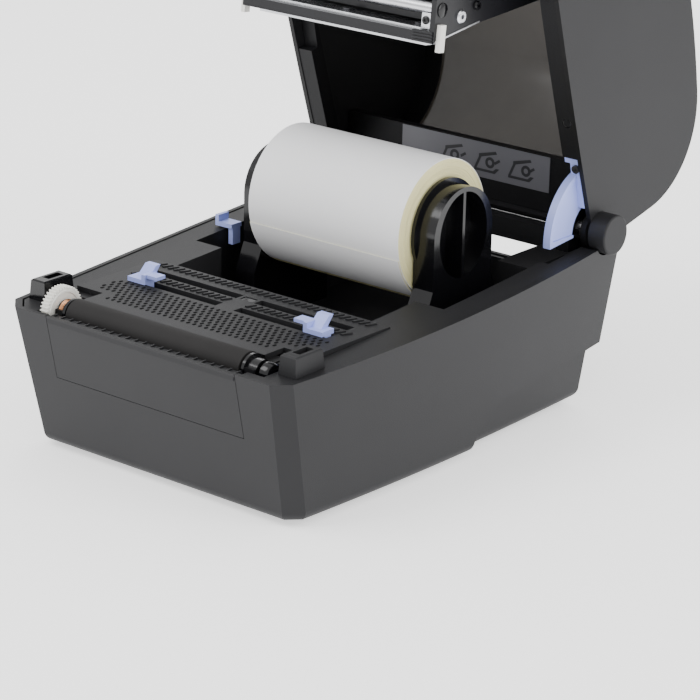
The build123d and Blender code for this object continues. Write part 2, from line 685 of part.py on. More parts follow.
# ---- media platform, rails, gap sensor and paper guides -----------------------------------------
with BuildPart() as media_platform:
    with BuildSketch(Plane.XY.offset(PLATFORM_TOP)):
        with BuildLine():
            Polyline(
                (-PLATFORM_FRONT_HALF, PLATFORM_Y0 - 7),
                (PLATFORM_FRONT_HALF, PLATFORM_Y0 - 7),
                (PLATFORM_FRONT_HALF, PLATFORM_Y0 + 12),
                (PLATFORM_HALF, PLATFORM_Y0 + 12),
                (PLATFORM_HALF, PLATFORM_Y1),
                (-PLATFORM_HALF, PLATFORM_Y1),
                (-PLATFORM_HALF, PLATFORM_Y0 + 12),
                (-PLATFORM_FRONT_HALF, PLATFORM_Y0 + 12),
                close=True,
            )
        make_face()
    extrude(amount=-PLATFORM_T)
    for y in SLOT_Y:
        for side in (-1, 1):
            x0, x1 = sorted((side * 6.0, side * SLOT_HALF))
            block(x0, x1, y - SLOT_W / 2, y + SLOT_W / 2, PLATFORM_TOP - 5, PLATFORM_TOP + 2, Mode.SUBTRACT)
    block(-4.0, 4.0, SLOT_Y[1] - 2.5, SLOT_Y[1] + 2.5, PLATFORM_TOP - 5, PLATFORM_TOP + 2, Mode.SUBTRACT)
    platen_room = PLATEN_R + 1.0
    rod(-PLATFORM_HALF, PLATFORM_HALF, PLATEN_Y, PLATEN_Z, platen_room, Mode.SUBTRACT)
save(media_platform.part, "media_platform")
with BuildPart() as guide_rail:
    rod(-SLOT_HALF - 6, SLOT_HALF + 6, SLOT_Y[0], PLATFORM_TOP - PLATFORM_T - 2.2, RAIL_R)
save(guide_rail.part, "guide_rail")
with BuildPart() as gap_sensor:
    block(-3.8, 3.8, SLOT_Y[1] - 2.3, SLOT_Y[1] + 2.3, PLATFORM_TOP - 6, PLATFORM_TOP - 0.3)
save(gap_sensor.part, "gap_sensor")
GUIDE_LOW = PLATFORM_TOP + 0.3
for side, name in ((-1, "paper_guide_left"), (1, "paper_guide_right")):
    x_face = side * GUIDE_HALF
    with BuildPart() as guide:
        # Foot in the slot, clasping the rail.
        foot0, foot1 = sorted((x_face, x_face + side * GUIDE_W))
        block(foot0, foot1, SLOT_Y[0] - 2.4, SLOT_Y[0] + 2.4, PLATFORM_TOP - 7.5, GUIDE_LOW + 1)
        block(foot0, foot1, SLOT_Y[0] - GUIDE_D / 2, SLOT_Y[0] + GUIDE_D / 2, GUIDE_LOW, GUIDE_LOW + 2.4)
        lip0, lip1 = sorted((x_face - side * 7.0, x_face + side * 2.0))
        block(lip0, lip1, SLOT_Y[0] - 3.2, SLOT_Y[0] + 3.2, GUIDE_LOW + 3.4, GUIDE_LOW + 5.2)
        # Wall that the paper's edge runs along.
        wall0, wall1 = sorted((x_face, x_face + side * 2.4))
        block(wall0, wall1, SLOT_Y[0] - GUIDE_D / 2, SLOT_Y[0] + GUIDE_D / 2, GUIDE_LOW, GUIDE_LOW + 5.2)
        # Finger tab that leans to the rear.
        tab0, tab1 = sorted((x_face + side * 1.0, x_face + side * 8.5))
        with BuildSketch(Plane.YZ.offset(tab0)):
            with BuildLine():
                Polyline(
                    (SLOT_Y[0] - 2.0, GUIDE_LOW + 1.5),
                    (SLOT_Y[0] + 3.0, GUIDE_LOW + 1.5),
                    (SLOT_Y[0] + 8.2, GUIDE_LOW + GUIDE_H),
                    (SLOT_Y[0] + 5.0, GUIDE_LOW + GUIDE_H),
                    close=True,
                )
            make_face()
        extrude(amount=tab1 - tab0)
        rod(-WIDE / 2, WIDE / 2, SLOT_Y[0], PLATFORM_TOP - PLATFORM_T - 2.2, RAIL_R + RUN, Mode.SUBTRACT)
    save(guide.part, name)

# ---- roll holders, label roll ---------------------------------------------------------------------
for side, name in ((-1, "roll_holder_left"), (1, "roll_holder_right")):
    x_in = side * (ROLL_HALF + 0.6)
    x_out = x_in + side * HOLDER_T
    low, high = sorted((x_in, x_out))
    with BuildPart() as holder:
        with BuildSketch(Plane.YZ.offset(low)):
            with BuildLine():
                Polyline(
                    (ROLL_Y - HOLDER_HALF, ROLL_Z),
                    (ROLL_Y - HOLDER_HALF, 82),
                    (ROLL_Y - HOLDER_FOOT_HALF, 68),
                    (ROLL_Y - HOLDER_FOOT_HALF, BAY_FLOOR_Z + GAP),
                    (ROLL_Y + HOLDER_FOOT_HALF, BAY_FLOOR_Z + GAP),
                    (ROLL_Y + HOLDER_FOOT_HALF, 68),
                    (ROLL_Y + HOLDER_HALF, 82),
                    (ROLL_Y + HOLDER_HALF, ROLL_Z),
                )
                ThreePointArc(
                    (ROLL_Y + HOLDER_HALF, ROLL_Z),
                    (ROLL_Y, ROLL_Z + HOLDER_HALF),
                    (ROLL_Y - HOLDER_HALF, ROLL_Z),
                )
            make_face()
        extrude(amount=high - low)
        # Oval recess with an upright rib in the outer face.
        with BuildSketch(Plane.YZ.offset(x_out)):
            with Locations((ROLL_Y, ROLL_Z - 1)):
                Ellipse(HOLDER_HALF - 4.5, HOLDER_HALF - 1.5)
                Rectangle(2.0, 2 * HOLDER_HALF, mode=Mode.SUBTRACT)
        extrude(amount=-side * (HOLDER_T - HOLDER_WALL), mode=Mode.SUBTRACT)
        # Disc and hub towards the roll.
        disc0, disc1 = sorted((x_in, x_in + side * DISC_T))
        rod(disc0, disc1, ROLL_Y, ROLL_Z, DISC_R)
        hub0, hub1 = sorted((x_in, x_in - side * HUB_L))
        rod(hub0, hub1, ROLL_Y, ROLL_Z, HUB_R)
        # Hollow of the foot, and the two feet through the floor slots.
        block(low + HOLDER_WALL, high - HOLDER_WALL, ROLL_Y - 20, ROLL_Y + 20, BAY_FLOOR_Z - 1, 72, Mode.SUBTRACT)
        for y in (ROLL_Y - 12, ROLL_Y + 12):
            block(low, high, y - 1.9, y + 1.9, BAY_FLOOR_Z - 5, BAY_FLOOR_Z + 6)
    save(holder.part, name)
with BuildPart() as roll_core:
    rod(-ROLL_HALF, ROLL_HALF, ROLL_Y, ROLL_Z, ROLL_CORE_R)
    rod(-ROLL_HALF - 1, ROLL_HALF + 1, ROLL_Y, ROLL_Z, ROLL_BORE_R, Mode.SUBTRACT)
save(roll_core.part, "roll_core")
with BuildPart() as label_roll:
    rod(-ROLL_HALF, ROLL_HALF, ROLL_Y, ROLL_Z, ROLL_R)
    rod(-ROLL_HALF - 1, ROLL_HALF + 1, ROLL_Y, ROLL_Z, ROLL_CORE_R, Mode.SUBTRACT)
save(label_roll.part, "label_roll")

# Pinion and racks that centre the two holders, under the bay floor.
RACK_Z = BAY_FLOOR_Z - 7.5
for side, name in ((-1, "holder_rack_left"), (1, "holder_rack_right")):
    y = ROLL_Y + side * 12
    x0, x1 = sorted((-side * 14.0, side * (ROLL_HALF + 0.6 + HOLDER_T)))
    with BuildPart() as rack:
        block(x0, x1, y - 1.9, y + 1.9, RACK_Z, BAY_FLOOR_Z - 5.0)
    save(rack.part, name)
with BuildPart() as holder_pinion:
    with Locations((0, ROLL_Y, RACK_Z + 1.2)):
        Cylinder(9.6, 2.4)
        Cylinder(2.0, 8, mode=Mode.SUBTRACT)
save(holder_pinion.part, "holder_pinion")

# Blue lever that locks the holders, on the left edge of the bay.
LOCK_X = -BAY_WIDE_HALF + 0.4
LOCK_Y = ROLL_Y - 14
lock_low = seam_z(LOCK_Y) + 0.5
with BuildPart() as holder_lock:
    block(LOCK_X - 6.6, LOCK_X + 5, LOCK_Y - 4, LOCK_Y + 4, lock_low, lock_low + 2.4)
    block(LOCK_X + 2, LOCK_X + 5, LOCK_Y - 3, LOCK_Y + 3, lock_low - 9, lock_low + 1)
    block(LOCK_X - 6.6, LOCK_X - 4.2, LOCK_Y - 4, LOCK_Y + 4, lock_low, lock_low + 6)
save(holder_lock.part, "holder_lock")

# ---- electronics -----------------------------------------------------------------------------------
BOARD_Z = FOOT_H + FLOOR_T + 6.0
with BuildPart() as main_board:
    block(-70, 70, BAY_WIDE_Y0 + 20, PORT_FACE_Y - 4, BOARD_Z, BOARD_Z + 1.6)
save(main_board.part, "main_board")
for name, (x, w, h) in PORTS.items():
    with BuildPart() as port:
        block(x - w / 2, x + w / 2, PORT_FACE_Y - 20, PORT_FACE_Y - 1.2, PORT_Z - h / 2, PORT_Z + h / 2)
        block(
            x - w / 2 + 1.2,
            x + w / 2 - 1.2,
            PORT_FACE_Y - 12,
            PORT_FACE_Y,
            PORT_Z - h / 2 + 1.2,
            PORT_Z + h / 2 - 1.2,
            Mode.SUBTRACT,
        )
    save(port.part, name)
with BuildPart() as switch_bezel:
    block(SWITCH_X - SWITCH_W / 2, SWITCH_X + SWITCH_W / 2, PORT_FACE_Y - 12, PORT_FACE_Y - 1.0, PORT_Z - SWITCH_H / 2, PORT_Z + SWITCH_H / 2)
    block(
        SWITCH_X - SWITCH_W / 2 + 1.6,
        SWITCH_X + SWITCH_W / 2 - 1.6,
        PORT_FACE_Y - 10,
        PORT_FACE_Y + 1,
        PORT_Z - SWITCH_H / 2 + 1.4,
        PORT_Z + SWITCH_H / 2 - 1.4,
        Mode.SUBTRACT,
    )
    with Locations((SWITCH_X, PORT_FACE_Y - 4, PORT_Z)):
        Cylinder(1.5 + RUN, SWITCH_H - 0.6, mode=Mode.SUBTRACT)
save(switch_bezel.part, "switch_bezel")
with BuildPart() as power_switch:
    with BuildSketch(Plane.XY.offset(PORT_Z - SWITCH_H / 2 + 1.8)):
        with BuildLine():
            Polyline(
                (SWITCH_X - 7.2, PORT_FACE_Y - 3.6),
                (SWITCH_X, PORT_FACE_Y - 2.4),
                (SWITCH_X + 7.2, PORT_FACE_Y - 0.6),
                (SWITCH_X + 6.8, PORT_FACE_Y - 5.0),
                (SWITCH_X - 6.8, PORT_FACE_Y - 7.0),
                close=True,
            )
        make_face()
    extrude(amount=SWITCH_H - 3.6)
    # Pin that it rocks on.
    with Locations((SWITCH_X, PORT_FACE_Y - 4, PORT_Z)):
        Cylinder(1.5, SWITCH_H - 1.0)
save(power_switch.part, "power_switch")

# ---- hinges ------------------------------------------------------------------------------------------
brackets = []
pins = []
for side in (-1, 1):
    x0, x1 = sorted((side * (STAY_X - 12), side * (STAY_X - 4.4)))
    with BuildPart() as bracket:
        rod(x0, x1, HINGE_Y, HINGE_Z, HINGE_R)
        block(x0, x1, HINGE_Y - HINGE_R, HINGE_Y + HINGE_R - 4, HINGE_SEAT_Z, HINGE_Z)
        rod(x0 - 1, x1 + 1, HINGE_Y, HINGE_Z, HINGE_PIN_R, Mode.SUBTRACT)
    brackets.append(bracket.part)
    x0, x1 = sorted((side * (STAY_X - 12), side * (LID_HALF + HINGE_CAP_T - 1.5)))
    with BuildPart() as pin:
        rod(x0, x1, HINGE_Y, HINGE_Z, HINGE_PIN_R)
    pins.append(pin.part)
save(group(brackets, "hinge_brackets"), "hinge_brackets")
save(group(pins, "hinge_pins"), "hinge_pins")

# ---- lid, modelled shut ----------------------------------------------------------------------------
LID_REAR_Y = BASE_FRONT_Y + LID_REAR_FROM_FRONT
LID_LOW_REAR_Z = HINGE_Z + 9.0


def lid_profile(inset, seam_up):
    """The lid's side outline, as a face whose X is the depth and whose Y is the height."""
    rear = LID_REAR_Y - inset
    with BuildSketch() as side_view:
        with BuildLine():
            rear_line = Line((rear, LID_LOW_REAR_Z), (rear, LID_REAR_TOP_Z))
            back = JernArc(rear_line @ 1, (0, 1), LID_REAR_R - inset, LID_REAR_ARC)
            top = JernArc(back @ 1, back % 1, LID_TOP_R - inset, LID_TOP_ARC)
            front = JernArc(top @ 1, top % 1, LID_FRONT_R - inset, LID_FRONT_ARC)
            nose_z = seam_z(BASE_FRONT_Y) + seam_up
            end = front @ 1
            heading = front % 1
            reach = (nose_z - end.Y) / heading.Y
            nose = (end.X + heading.X * reach, nose_z)
            Line(end, nose)
            low_rear_y = HINGE_Y + 6.0
            mid_y = (nose[0] + low_rear_y) / 2
            low_rear = (low_rear_y, seam_z(low_rear_y) + seam_up)
            ThreePointArc(nose, (mid_y, seam_z(mid_y) + seam_up), low_rear)
            Polyline(low_rear, (low_rear_y, LID_LOW_REAR_Z), (rear, LID_LOW_REAR_Z))
        make_face()
    return side_view.sketch


def lid_block(inset, seam_up):
    """The lid as a full block with its sides at LID_HALF, inset by a wall."""
    side_view = lid_profile(inset, seam_up)
    plan_view = outline(inset + 1.0, 0.0, 0.0, -30.0)
    with BuildPart() as body:
        with BuildSketch(Plane.YZ):
            add(side_view)
        extrude(amount=LID_HALF - inset, both=True)
    with BuildPart() as plan:
        with BuildSketch(Plane.XY.offset(SEAM_FRONT_Z - 10)):
            add(plan_view)
        extrude(amount=200)
    return body.part & plan.part


LID_SEAM_UP = 0.8
lid_outer = lid_block(0.0, LID_SEAM_UP)
lid_inner = lid_block(LID_WALL, LID_SEAM_UP - 30)
mouth_half = PANEL_HALF + 2
window_front_y = BASE_FRONT_Y + WINDOW_FRONT_FROM_FRONT


def window_zone(grow):
    """The box that the window fills in the lid's top, grown by a clearance."""
    with BuildPart() as zone:
        block(
            -WINDOW_HALF - grow,
            WINDOW_HALF + grow,
            window_front_y - grow,
            LID_REAR_Y + 20,
            WINDOW_LOW_Z - grow,
            300,
        )
    return zone.part


lid_skin = lid_outer - lid_inner
with BuildPart() as lid_shell:
    add(lid_skin)
    add(window_zone(GAP), mode=Mode.SUBTRACT)
    with Locations((BUTTON_X, BUTTON_Y, 150)):
        Cylinder(BUTTON_R + 0.5, 100, mode=Mode.SUBTRACT)
    with Locations((BUTTON_X - 18, BUTTON_Y, 150), (BUTTON_X - 26, BUTTON_Y, 150)):
        Box(3, 7, 100, mode=Mode.SUBTRACT)
    # Mouth for the labels above the front panel, and room round the latch posts.
    block(-mouth_half, mouth_half, BASE_FRONT_Y - 10, BASE_FRONT_Y + 30, SEAM_FRONT_Z - 5, SEAM_FRONT_Z + 9, Mode.SUBTRACT)
    # The base's hinge brackets stand in a notch at each rear corner, beside the lid's own barrels.
    for side in (-1, 1):
        x0, x1 = sorted((side * (LID_HALF - LID_WALL - 0.2), side * (STAY_X - 14)))
        block(x0, x1, HINGE_Y - HINGE_R - 1, HINGE_Y + 20, HINGE_Z - 20, HINGE_Z + HINGE_R + 1, Mode.SUBTRACT)
        rod(side * (STAY_X + 2.6), side * (LID_HALF - LID_WALL + 0.5), HINGE_Y, HINGE_Z, HINGE_R)
        rod(
            side * (STAY_X + 2),
            side * (LID_HALF + 2),
            HINGE_Y,
            HINGE_Z,
            HINGE_PIN_R + RUN,
            Mode.SUBTRACT,
        )
save_lid(lid_shell.part, "lid_shell")
with BuildPart() as lid_window:
    add(lid_skin)
    add(window_zone(0), mode=Mode.INTERSECT)
save_lid(lid_window.part, "lid_window")

# Inner frame: a rim along both sides and the front, and a sloping panel at the rear.
rim_zone = seam_prism(LID_SEAM_UP + RIM_H + 0.4, thickness=RIM_H) & lid_block(LID_WALL + GAP, LID_SEAM_UP - 30)
rim_rear_y = HINGE_Y - 14
STAY_FRONT = STAY_OUT_R + 8.5  # the stay's flange reaches this far in front of the hinge
STAY_SCREW_X = STAY_X + 2.6
STAY_SCREW_Y = HINGE_Y - STAY_FRONT + 5.5
FLANGE_LOW = HINGE_Z - 7.0
FLANGE_T = 2.5
STICKER_LOW = (HINGE_Y - 5.0, HINGE_Z + 15.7)
STICKER_HIGH = (HINGE_Y - 25.0, HINGE_Z + 20.3)
with BuildPart() as lid_frame:
    add(rim_zone)
    block(
        -LID_HALF + RIM_W,
        LID_HALF - RIM_W,
        BASE_FRONT_Y + 34,
        REAR_Y + 30,
        SEAM_FRONT_Z - 10,
        LOFT_TOP_Z + 40,
        Mode.SUBTRACT,
    )
    block(-WIDE, WIDE, rim_rear_y, REAR_Y + 30, SEAM_FRONT_Z - 10, HINGE_Z + 60, Mode.SUBTRACT)
    block(-WIDE, WIDE, BASE_FRONT_Y - 10, BASE_FRONT_Y + 48, SEAM_FRONT_Z - 10, SEAM_FRONT_Z + POST_H + 4, Mode.SUBTRACT)
    # Room on the left over the holder lock lever.
    lever_y = ROLL_Y - 14
    lever_top = seam_z(lever_y) + 7.6
    block(-WIDE, -LID_HALF + RIM_W + 1, lever_y - 8, lever_y + 16, SEAM_FRONT_Z - 10, lever_top, Mode.SUBTRACT)
    # Room on the right for the stay, with a boss for its screw.
    block(STAY_X - 8, WIDE, HINGE_Y - STAY_FRONT - 1, rim_rear_y + 1, SEAM_FRONT_Z - 10, HINGE_Z - 1.4, Mode.SUBTRACT)
    with Locations((STAY_SCREW_X, STAY_SCREW_Y, FLANGE_LOW + FLANGE_T + GAP / 3 + 1.75)):
        Cylinder(2.3, 3.5)
    with Locations((STAY_SCREW_X, STAY_SCREW_Y, HINGE_Z - 2.5)):
        Cylinder(1.3, 5, mode=Mode.SUBTRACT)
save_lid(lid_frame.part, "lid_frame")
with BuildPart() as rear_panel:
    with BuildSketch(Plane.YZ):
        with BuildLine():
            Polyline(
                (LID_REAR_Y - LID_WALL - GAP, HINGE_Z + 13.0),
                STICKER_LOW,
                STICKER_HIGH,
                (HINGE_Y - 23.0, HINGE_Z + 26.5),
                (HINGE_Y - 3.0, WINDOW_LOW_Z - 2.0),
                (HINGE_Y, WINDOW_LOW_Z - 2.0),
                (HINGE_Y - 20.0, HINGE_Z + 27.0),
                (HINGE_Y - 22.0, HINGE_Z + 23.0),
                (HINGE_Y - 4.5, HINGE_Z + 18.5),
                (LID_REAR_Y - LID_WALL - GAP, HINGE_Z + 16.0),
                close=True,
            )
        make_face()
    extrude(amount=LID_HALF - LID_WALL - GAP - 1, both=True)
save_lid(rear_panel.part, "lid_rear_panel")
sticker_dy = STICKER_HIGH[0] - STICKER_LOW[0]
sticker_dz = STICKER_HIGH[1] - STICKER_LOW[1]
sticker_len = math.hypot(sticker_dy, sticker_dz)
with BuildPart() as sticker:
    face_normal = (0, -sticker_dz / sticker_len, sticker_dy / sticker_len)
    middle = (0, (STICKER_LOW[0] + STICKER_HIGH[0]) / 2, (STICKER_LOW[1] + STICKER_HIGH[1]) / 2)
    with BuildSketch(Plane(origin=middle, x_dir=(1, 0, 0), z_dir=face_normal)):
        Rectangle(100, sticker_len - 1)
    extrude(amount=0.3)
save_lid(sticker.part, "instruction_sticker")

# Hinge caps on the outside of the lid.
for side, tag in ((-1, "left"), (1, "right")):
    with BuildPart() as cap:
        rod(side * (LID_HALF + GAP / 3), side * (LID_HALF + HINGE_CAP_T), HINGE_Y, HINGE_Z, HINGE_CAP_R)
        rod(side * LID_HALF, side * (LID_HALF + HINGE_CAP_T - 1.2), HINGE_Y, HINGE_Z, HINGE_PIN_R + RUN, Mode.SUBTRACT)
        fillet(cap.edges().group_by(Axis.X)[-1 if side > 0 else 0], 1.0)
    save_lid(cap.part, f"hinge_cap_{tag}")


# Blue stay that limits how far the lid opens: a ring sector with a raised rim and a screwed flange.
def on_stay(radius, degrees):
    """A point of the stay at that radius and angle about the hinge, in the YZ plane."""
    a = math.radians(degrees)
    return HINGE_Y + radius * math.cos(a), HINGE_Z + radius * math.sin(a)


STAY_START = 188.0  # angles are measured shut, from the front round the underside of the hinge
STAY_STOP = 262.0
STAY_RIM = 2.4
rim_stop = STAY_STOP - math.degrees(STAY_RIM / ((STAY_IN_R + STAY_OUT_R) / 2))
with BuildPart() as lid_stay:
    for r_in, r_out, start, half_w in (
        (STAY_IN_R, STAY_OUT_R, STAY_START, STAY_T / 2),
        (STAY_OUT_R - STAY_RIM, STAY_OUT_R, STAY_START, STAY_T / 2 + 0.9),
        (STAY_IN_R, STAY_OUT_R, rim_stop, STAY_T / 2 + 0.9),
    ):
        middle_angle = (start + STAY_STOP) / 2
        with BuildSketch(Plane.YZ.offset(STAY_X)):
            with BuildLine():
                ThreePointArc(on_stay(r_out, start), on_stay(r_out, middle_angle), on_stay(r_out, STAY_STOP))
                Line(on_stay(r_out, STAY_STOP), on_stay(r_in, STAY_STOP))
                ThreePointArc(on_stay(r_in, STAY_STOP), on_stay(r_in, middle_angle), on_stay(r_in, start))
                Line(on_stay(r_in, start), on_stay(r_out, start))
            make_face()
        extrude(amount=half_w, both=True)
    flange_x1 = LID_HALF - LID_WALL - GAP
    flange_y0 = HINGE_Y - STAY_FRONT
    flange_top = FLANGE_LOW + FLANGE_T
    block(STAY_X - STAY_T / 2, flange_x1, flange_y0, HINGE_Y - STAY_IN_R - 1, FLANGE_LOW, flange_top)
    block(STAY_X - 4.5, flange_x1, flange_y0, flange_y0 + 3.0, FLANGE_LOW, flange_top)
    with Locations((STAY_SCREW_X, STAY_SCREW_Y, HINGE_Z)):
        Cylinder(1.3, 30, mode=Mode.SUBTRACT)
save_lid(lid_stay.part, "lid_stay")
stay_screw = screw(STAY_SCREW_X, STAY_SCREW_Y, FLANGE_LOW, (0, 0, -1), head_r=2.2, shank_l=5.0)
save_lid(stay_screw, "stay_screw")

# Feed button and status lights, flush in the front part of the lid's top.
with BuildPart() as feed_button:
    add(lid_skin)
    with Locations((BUTTON_X, BUTTON_Y, 150)):
        Cylinder(BUTTON_R, 100, mode=Mode.INTERSECT)
save_lid(feed_button.part, "feed_button")
with BuildPart() as status_lights:
    add(lid_skin)
    with Locations((BUTTON_X - 18, BUTTON_Y, 150), (BUTTON_X - 26, BUTTON_Y, 150)):
        Box(3, 7, 100, mode=Mode.INTERSECT)
save_lid(status_lights.part, "status_lights")

# ---- print module, modelled shut -------------------------------------------------------------------
NIP_Z = PLATEN_Z + PLATEN_R
plate_points = [
    (PLATEN_Y - 6, NIP_Z + 2.5),
    (PLATEN_Y + 30, NIP_Z + 11.0),
    (PIVOT_Y - 6, NIP_Z + 21.0),
    (PIVOT_Y + 6, MODULE_PIVOT_Z - 8),
    (PIVOT_Y + 6, MODULE_PIVOT_Z + 6),
    (PIVOT_Y - 10, MODULE_PIVOT_Z + 12),
    (PLATEN_Y + 26, MODULE_PIVOT_Z + 2),
    (PLATEN_Y - 6, NIP_Z + 24.0),
]
SUPPLY = (PIVOT_Y - 22, MODULE_PIVOT_Z - 4)
TAKEUP = (PLATEN_Y + 34, NIP_Z + 30)
BAR = (PLATEN_Y - 1, NIP_Z + 19)
HEAD_SCREW_X = (-46.0, 0.0, 46.0)
HEAD_SCREW_Y = PLATEN_Y + 2.5
with BuildPart() as module_frame:
    for side in (-1, 1):
        with BuildSketch(Plane.YZ.offset(side * (MODULE_HALF - (MODULE_PLATE_T if side > 0 else 0)))):
            with BuildLine():
                Polyline(*plate_points, close=True)
            make_face()
        extrude(amount=MODULE_PLATE_T)
    # Cross members: the nose rail, the head beam and the rear tie.
    block(-MODULE_HALF + 1, MODULE_HALF - 1, PLATEN_Y - 6, PLATEN_Y - 3, NIP_Z + 2.5, NIP_Z + 7.5)
    block(-MODULE_HALF + 1, MODULE_HALF - 1, PLATEN_Y + 8, PLATEN_Y + 24, NIP_Z + 11, NIP_Z + 14)
    block(-MODULE_HALF + 1, MODULE_HALF - 1, PIVOT_Y - 8, PIVOT_Y - 4, NIP_Z + 22, NIP_Z + 32)
    for (y, z), radius in ((SUPPLY, 3.0), (TAKEUP, 3.0), (BAR, TENSION_BAR_R)):
        rod(-MODULE_HALF - 1, MODULE_HALF + 1, y, z, radius + RUN, Mode.SUBTRACT)
    rod(-MODULE_HALF - 1, MODULE_HALF + 1, PIVOT_Y, MODULE_PIVOT_Z, 3.0 + RUN, Mode.SUBTRACT)
save_module(module_frame.part, "module_frame")
with BuildPart() as head_bracket:
    block(-54, 54, PLATEN_Y - 2.8, PLATEN_Y + 13, NIP_Z + 7.5, NIP_Z + 9.0)
    with Locations(*[(x, HEAD_SCREW_Y, NIP_Z + 8) for x in HEAD_SCREW_X]):
        Cylinder(1.3, 4, mode=Mode.SUBTRACT)
save_module(head_bracket.part, "head_bracket")
with BuildPart() as print_head:
    block(-54, 54, PLATEN_Y - 2, PLATEN_Y + 12, NIP_Z + 2.6, NIP_Z + 7.4)
    block(-54, 54, PLATEN_Y - 1.5, PLATEN_Y + 6, NIP_Z + 0.5, NIP_Z + 2.6)
save_module(print_head.part, "print_head")
with BuildPart() as tension_bar:
    rod(-MODULE_HALF, MODULE_HALF, BAR[0], BAR[1], TENSION_BAR_R)
save_module(tension_bar.part, "tension_bar")
for name, (y, z) in (("ribbon_supply_spindle", SUPPLY), ("ribbon_takeup_spindle", TAKEUP)):
    with BuildPart() as spindle:
        rod(-MODULE_HALF - 0.5, MODULE_HALF + 4, y, z, 3.0)
        rod(-MODULE_HALF + MODULE_PLATE_T + 0.4, MODULE_HALF - MODULE_PLATE_T - 0.4, y, z, SPINDLE_R)
        for k in range(3):
            fin_x = MODULE_HALF - MODULE_PLATE_T - 2.4
            with Locations(Location((0, y, z), (120 * k, 0, 0))):
                with Locations((0, 0, SPINDLE_R)):
                    Box(2 * fin_x - 20, 1.4, 4)
    save_module(spindle.part, name)
with BuildPart() as module_pivot:
    rod(-LID_HALF + LID_WALL + 1, LID_HALF - LID_WALL - 1, PIVOT_Y, MODULE_PIVOT_Z, 3.0)
save_lid(module_pivot.part, "module_pivot_rod")
arms = []
arm_x = LID_HALF - LID_WALL - GAP
for side in (-1, 1):
    with BuildPart() as arm:
        block(
            side * (arm_x - 2.5),
            side * arm_x,
            PIVOT_Y - 6,
            PIVOT_Y + 6,
            seam_z(PIVOT_Y) + LID_SEAM_UP + RIM_H + 1,
            MODULE_PIVOT_Z + 6,
        )
        rod(-WIDE / 2, WIDE / 2, PIVOT_Y, MODULE_PIVOT_Z, 3.0, Mode.SUBTRACT)
    arms.append(arm.part)
save_lid(group(arms, "pivot_arms"), "pivot_arms")
hooks = []
for side in (-1, 1):
    x0, x1 = sorted((side * (MODULE_HALF + 0.1), side * (MODULE_HALF + 2.6)))
    with BuildPart() as hook:
        block(x0, x1, PLATEN_Y - 4, PLATEN_Y, NIP_Z - 1.5, NIP_Z + 12)
    hooks.append(hook.part)
save_module(group(hooks, "module_hooks"), "module_hooks")
save_module(
    group(
        [screw(x, HEAD_SCREW_Y, NIP_Z + 9.0, (0, 0, 1), head_r=2.2, head_h=1.4, shank_l=1.4) for x in HEAD_SCREW_X],
        "head_screws",
    ),
    "head_screws",
)
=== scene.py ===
import json
import math

import bmesh
import bpy
from mathutils import Matrix, Vector


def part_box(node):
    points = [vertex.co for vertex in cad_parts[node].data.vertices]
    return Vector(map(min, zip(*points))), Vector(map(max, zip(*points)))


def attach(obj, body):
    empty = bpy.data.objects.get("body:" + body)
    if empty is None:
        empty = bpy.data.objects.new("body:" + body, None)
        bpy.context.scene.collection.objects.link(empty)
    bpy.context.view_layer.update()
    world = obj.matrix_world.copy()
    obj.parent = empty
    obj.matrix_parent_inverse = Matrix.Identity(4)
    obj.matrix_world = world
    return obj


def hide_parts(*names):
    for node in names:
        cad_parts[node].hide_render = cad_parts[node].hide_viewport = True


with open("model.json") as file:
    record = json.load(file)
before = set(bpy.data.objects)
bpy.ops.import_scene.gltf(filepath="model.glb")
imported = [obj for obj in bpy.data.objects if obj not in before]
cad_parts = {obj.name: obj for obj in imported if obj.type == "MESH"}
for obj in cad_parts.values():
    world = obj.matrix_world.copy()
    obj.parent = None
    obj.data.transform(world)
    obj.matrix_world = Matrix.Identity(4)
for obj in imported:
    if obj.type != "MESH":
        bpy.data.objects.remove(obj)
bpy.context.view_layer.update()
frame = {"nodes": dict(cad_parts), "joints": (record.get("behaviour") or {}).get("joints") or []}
NODES = frame["nodes"]
JOINTS = {j["name"]: j for j in frame["joints"]}
MM = 0.001


def corner_mm(node):
    """Lowest and highest corner of a CAD node at rest, in millimetres."""
    low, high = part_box(node)
    return low / MM, high / MM


# ---- places read from the frame, in millimetres -------------------------------------------
HINGE = Vector(JOINTS["lid_hinge"]["pos_m"]) / MM
OPEN = math.radians(JOINTS["lid_hinge"]["range_deg"][1])
PIVOT_OPEN = Vector(JOINTS["module_fold"]["pos_m"]) / MM
PLATEN = Vector(JOINTS["platen_spin"]["pos_m"]) / MM
ROLL = Vector(JOINTS["roll_spin"]["pos_m"]) / MM
PLATE_LOW, PLATE_HIGH = corner_mm("media_platform")


# ---- materials ----------------------------------------------------------------------------
SLOW_MM = 45.0  # size of the slow change in colour
COAT_ROUGH = 0.08


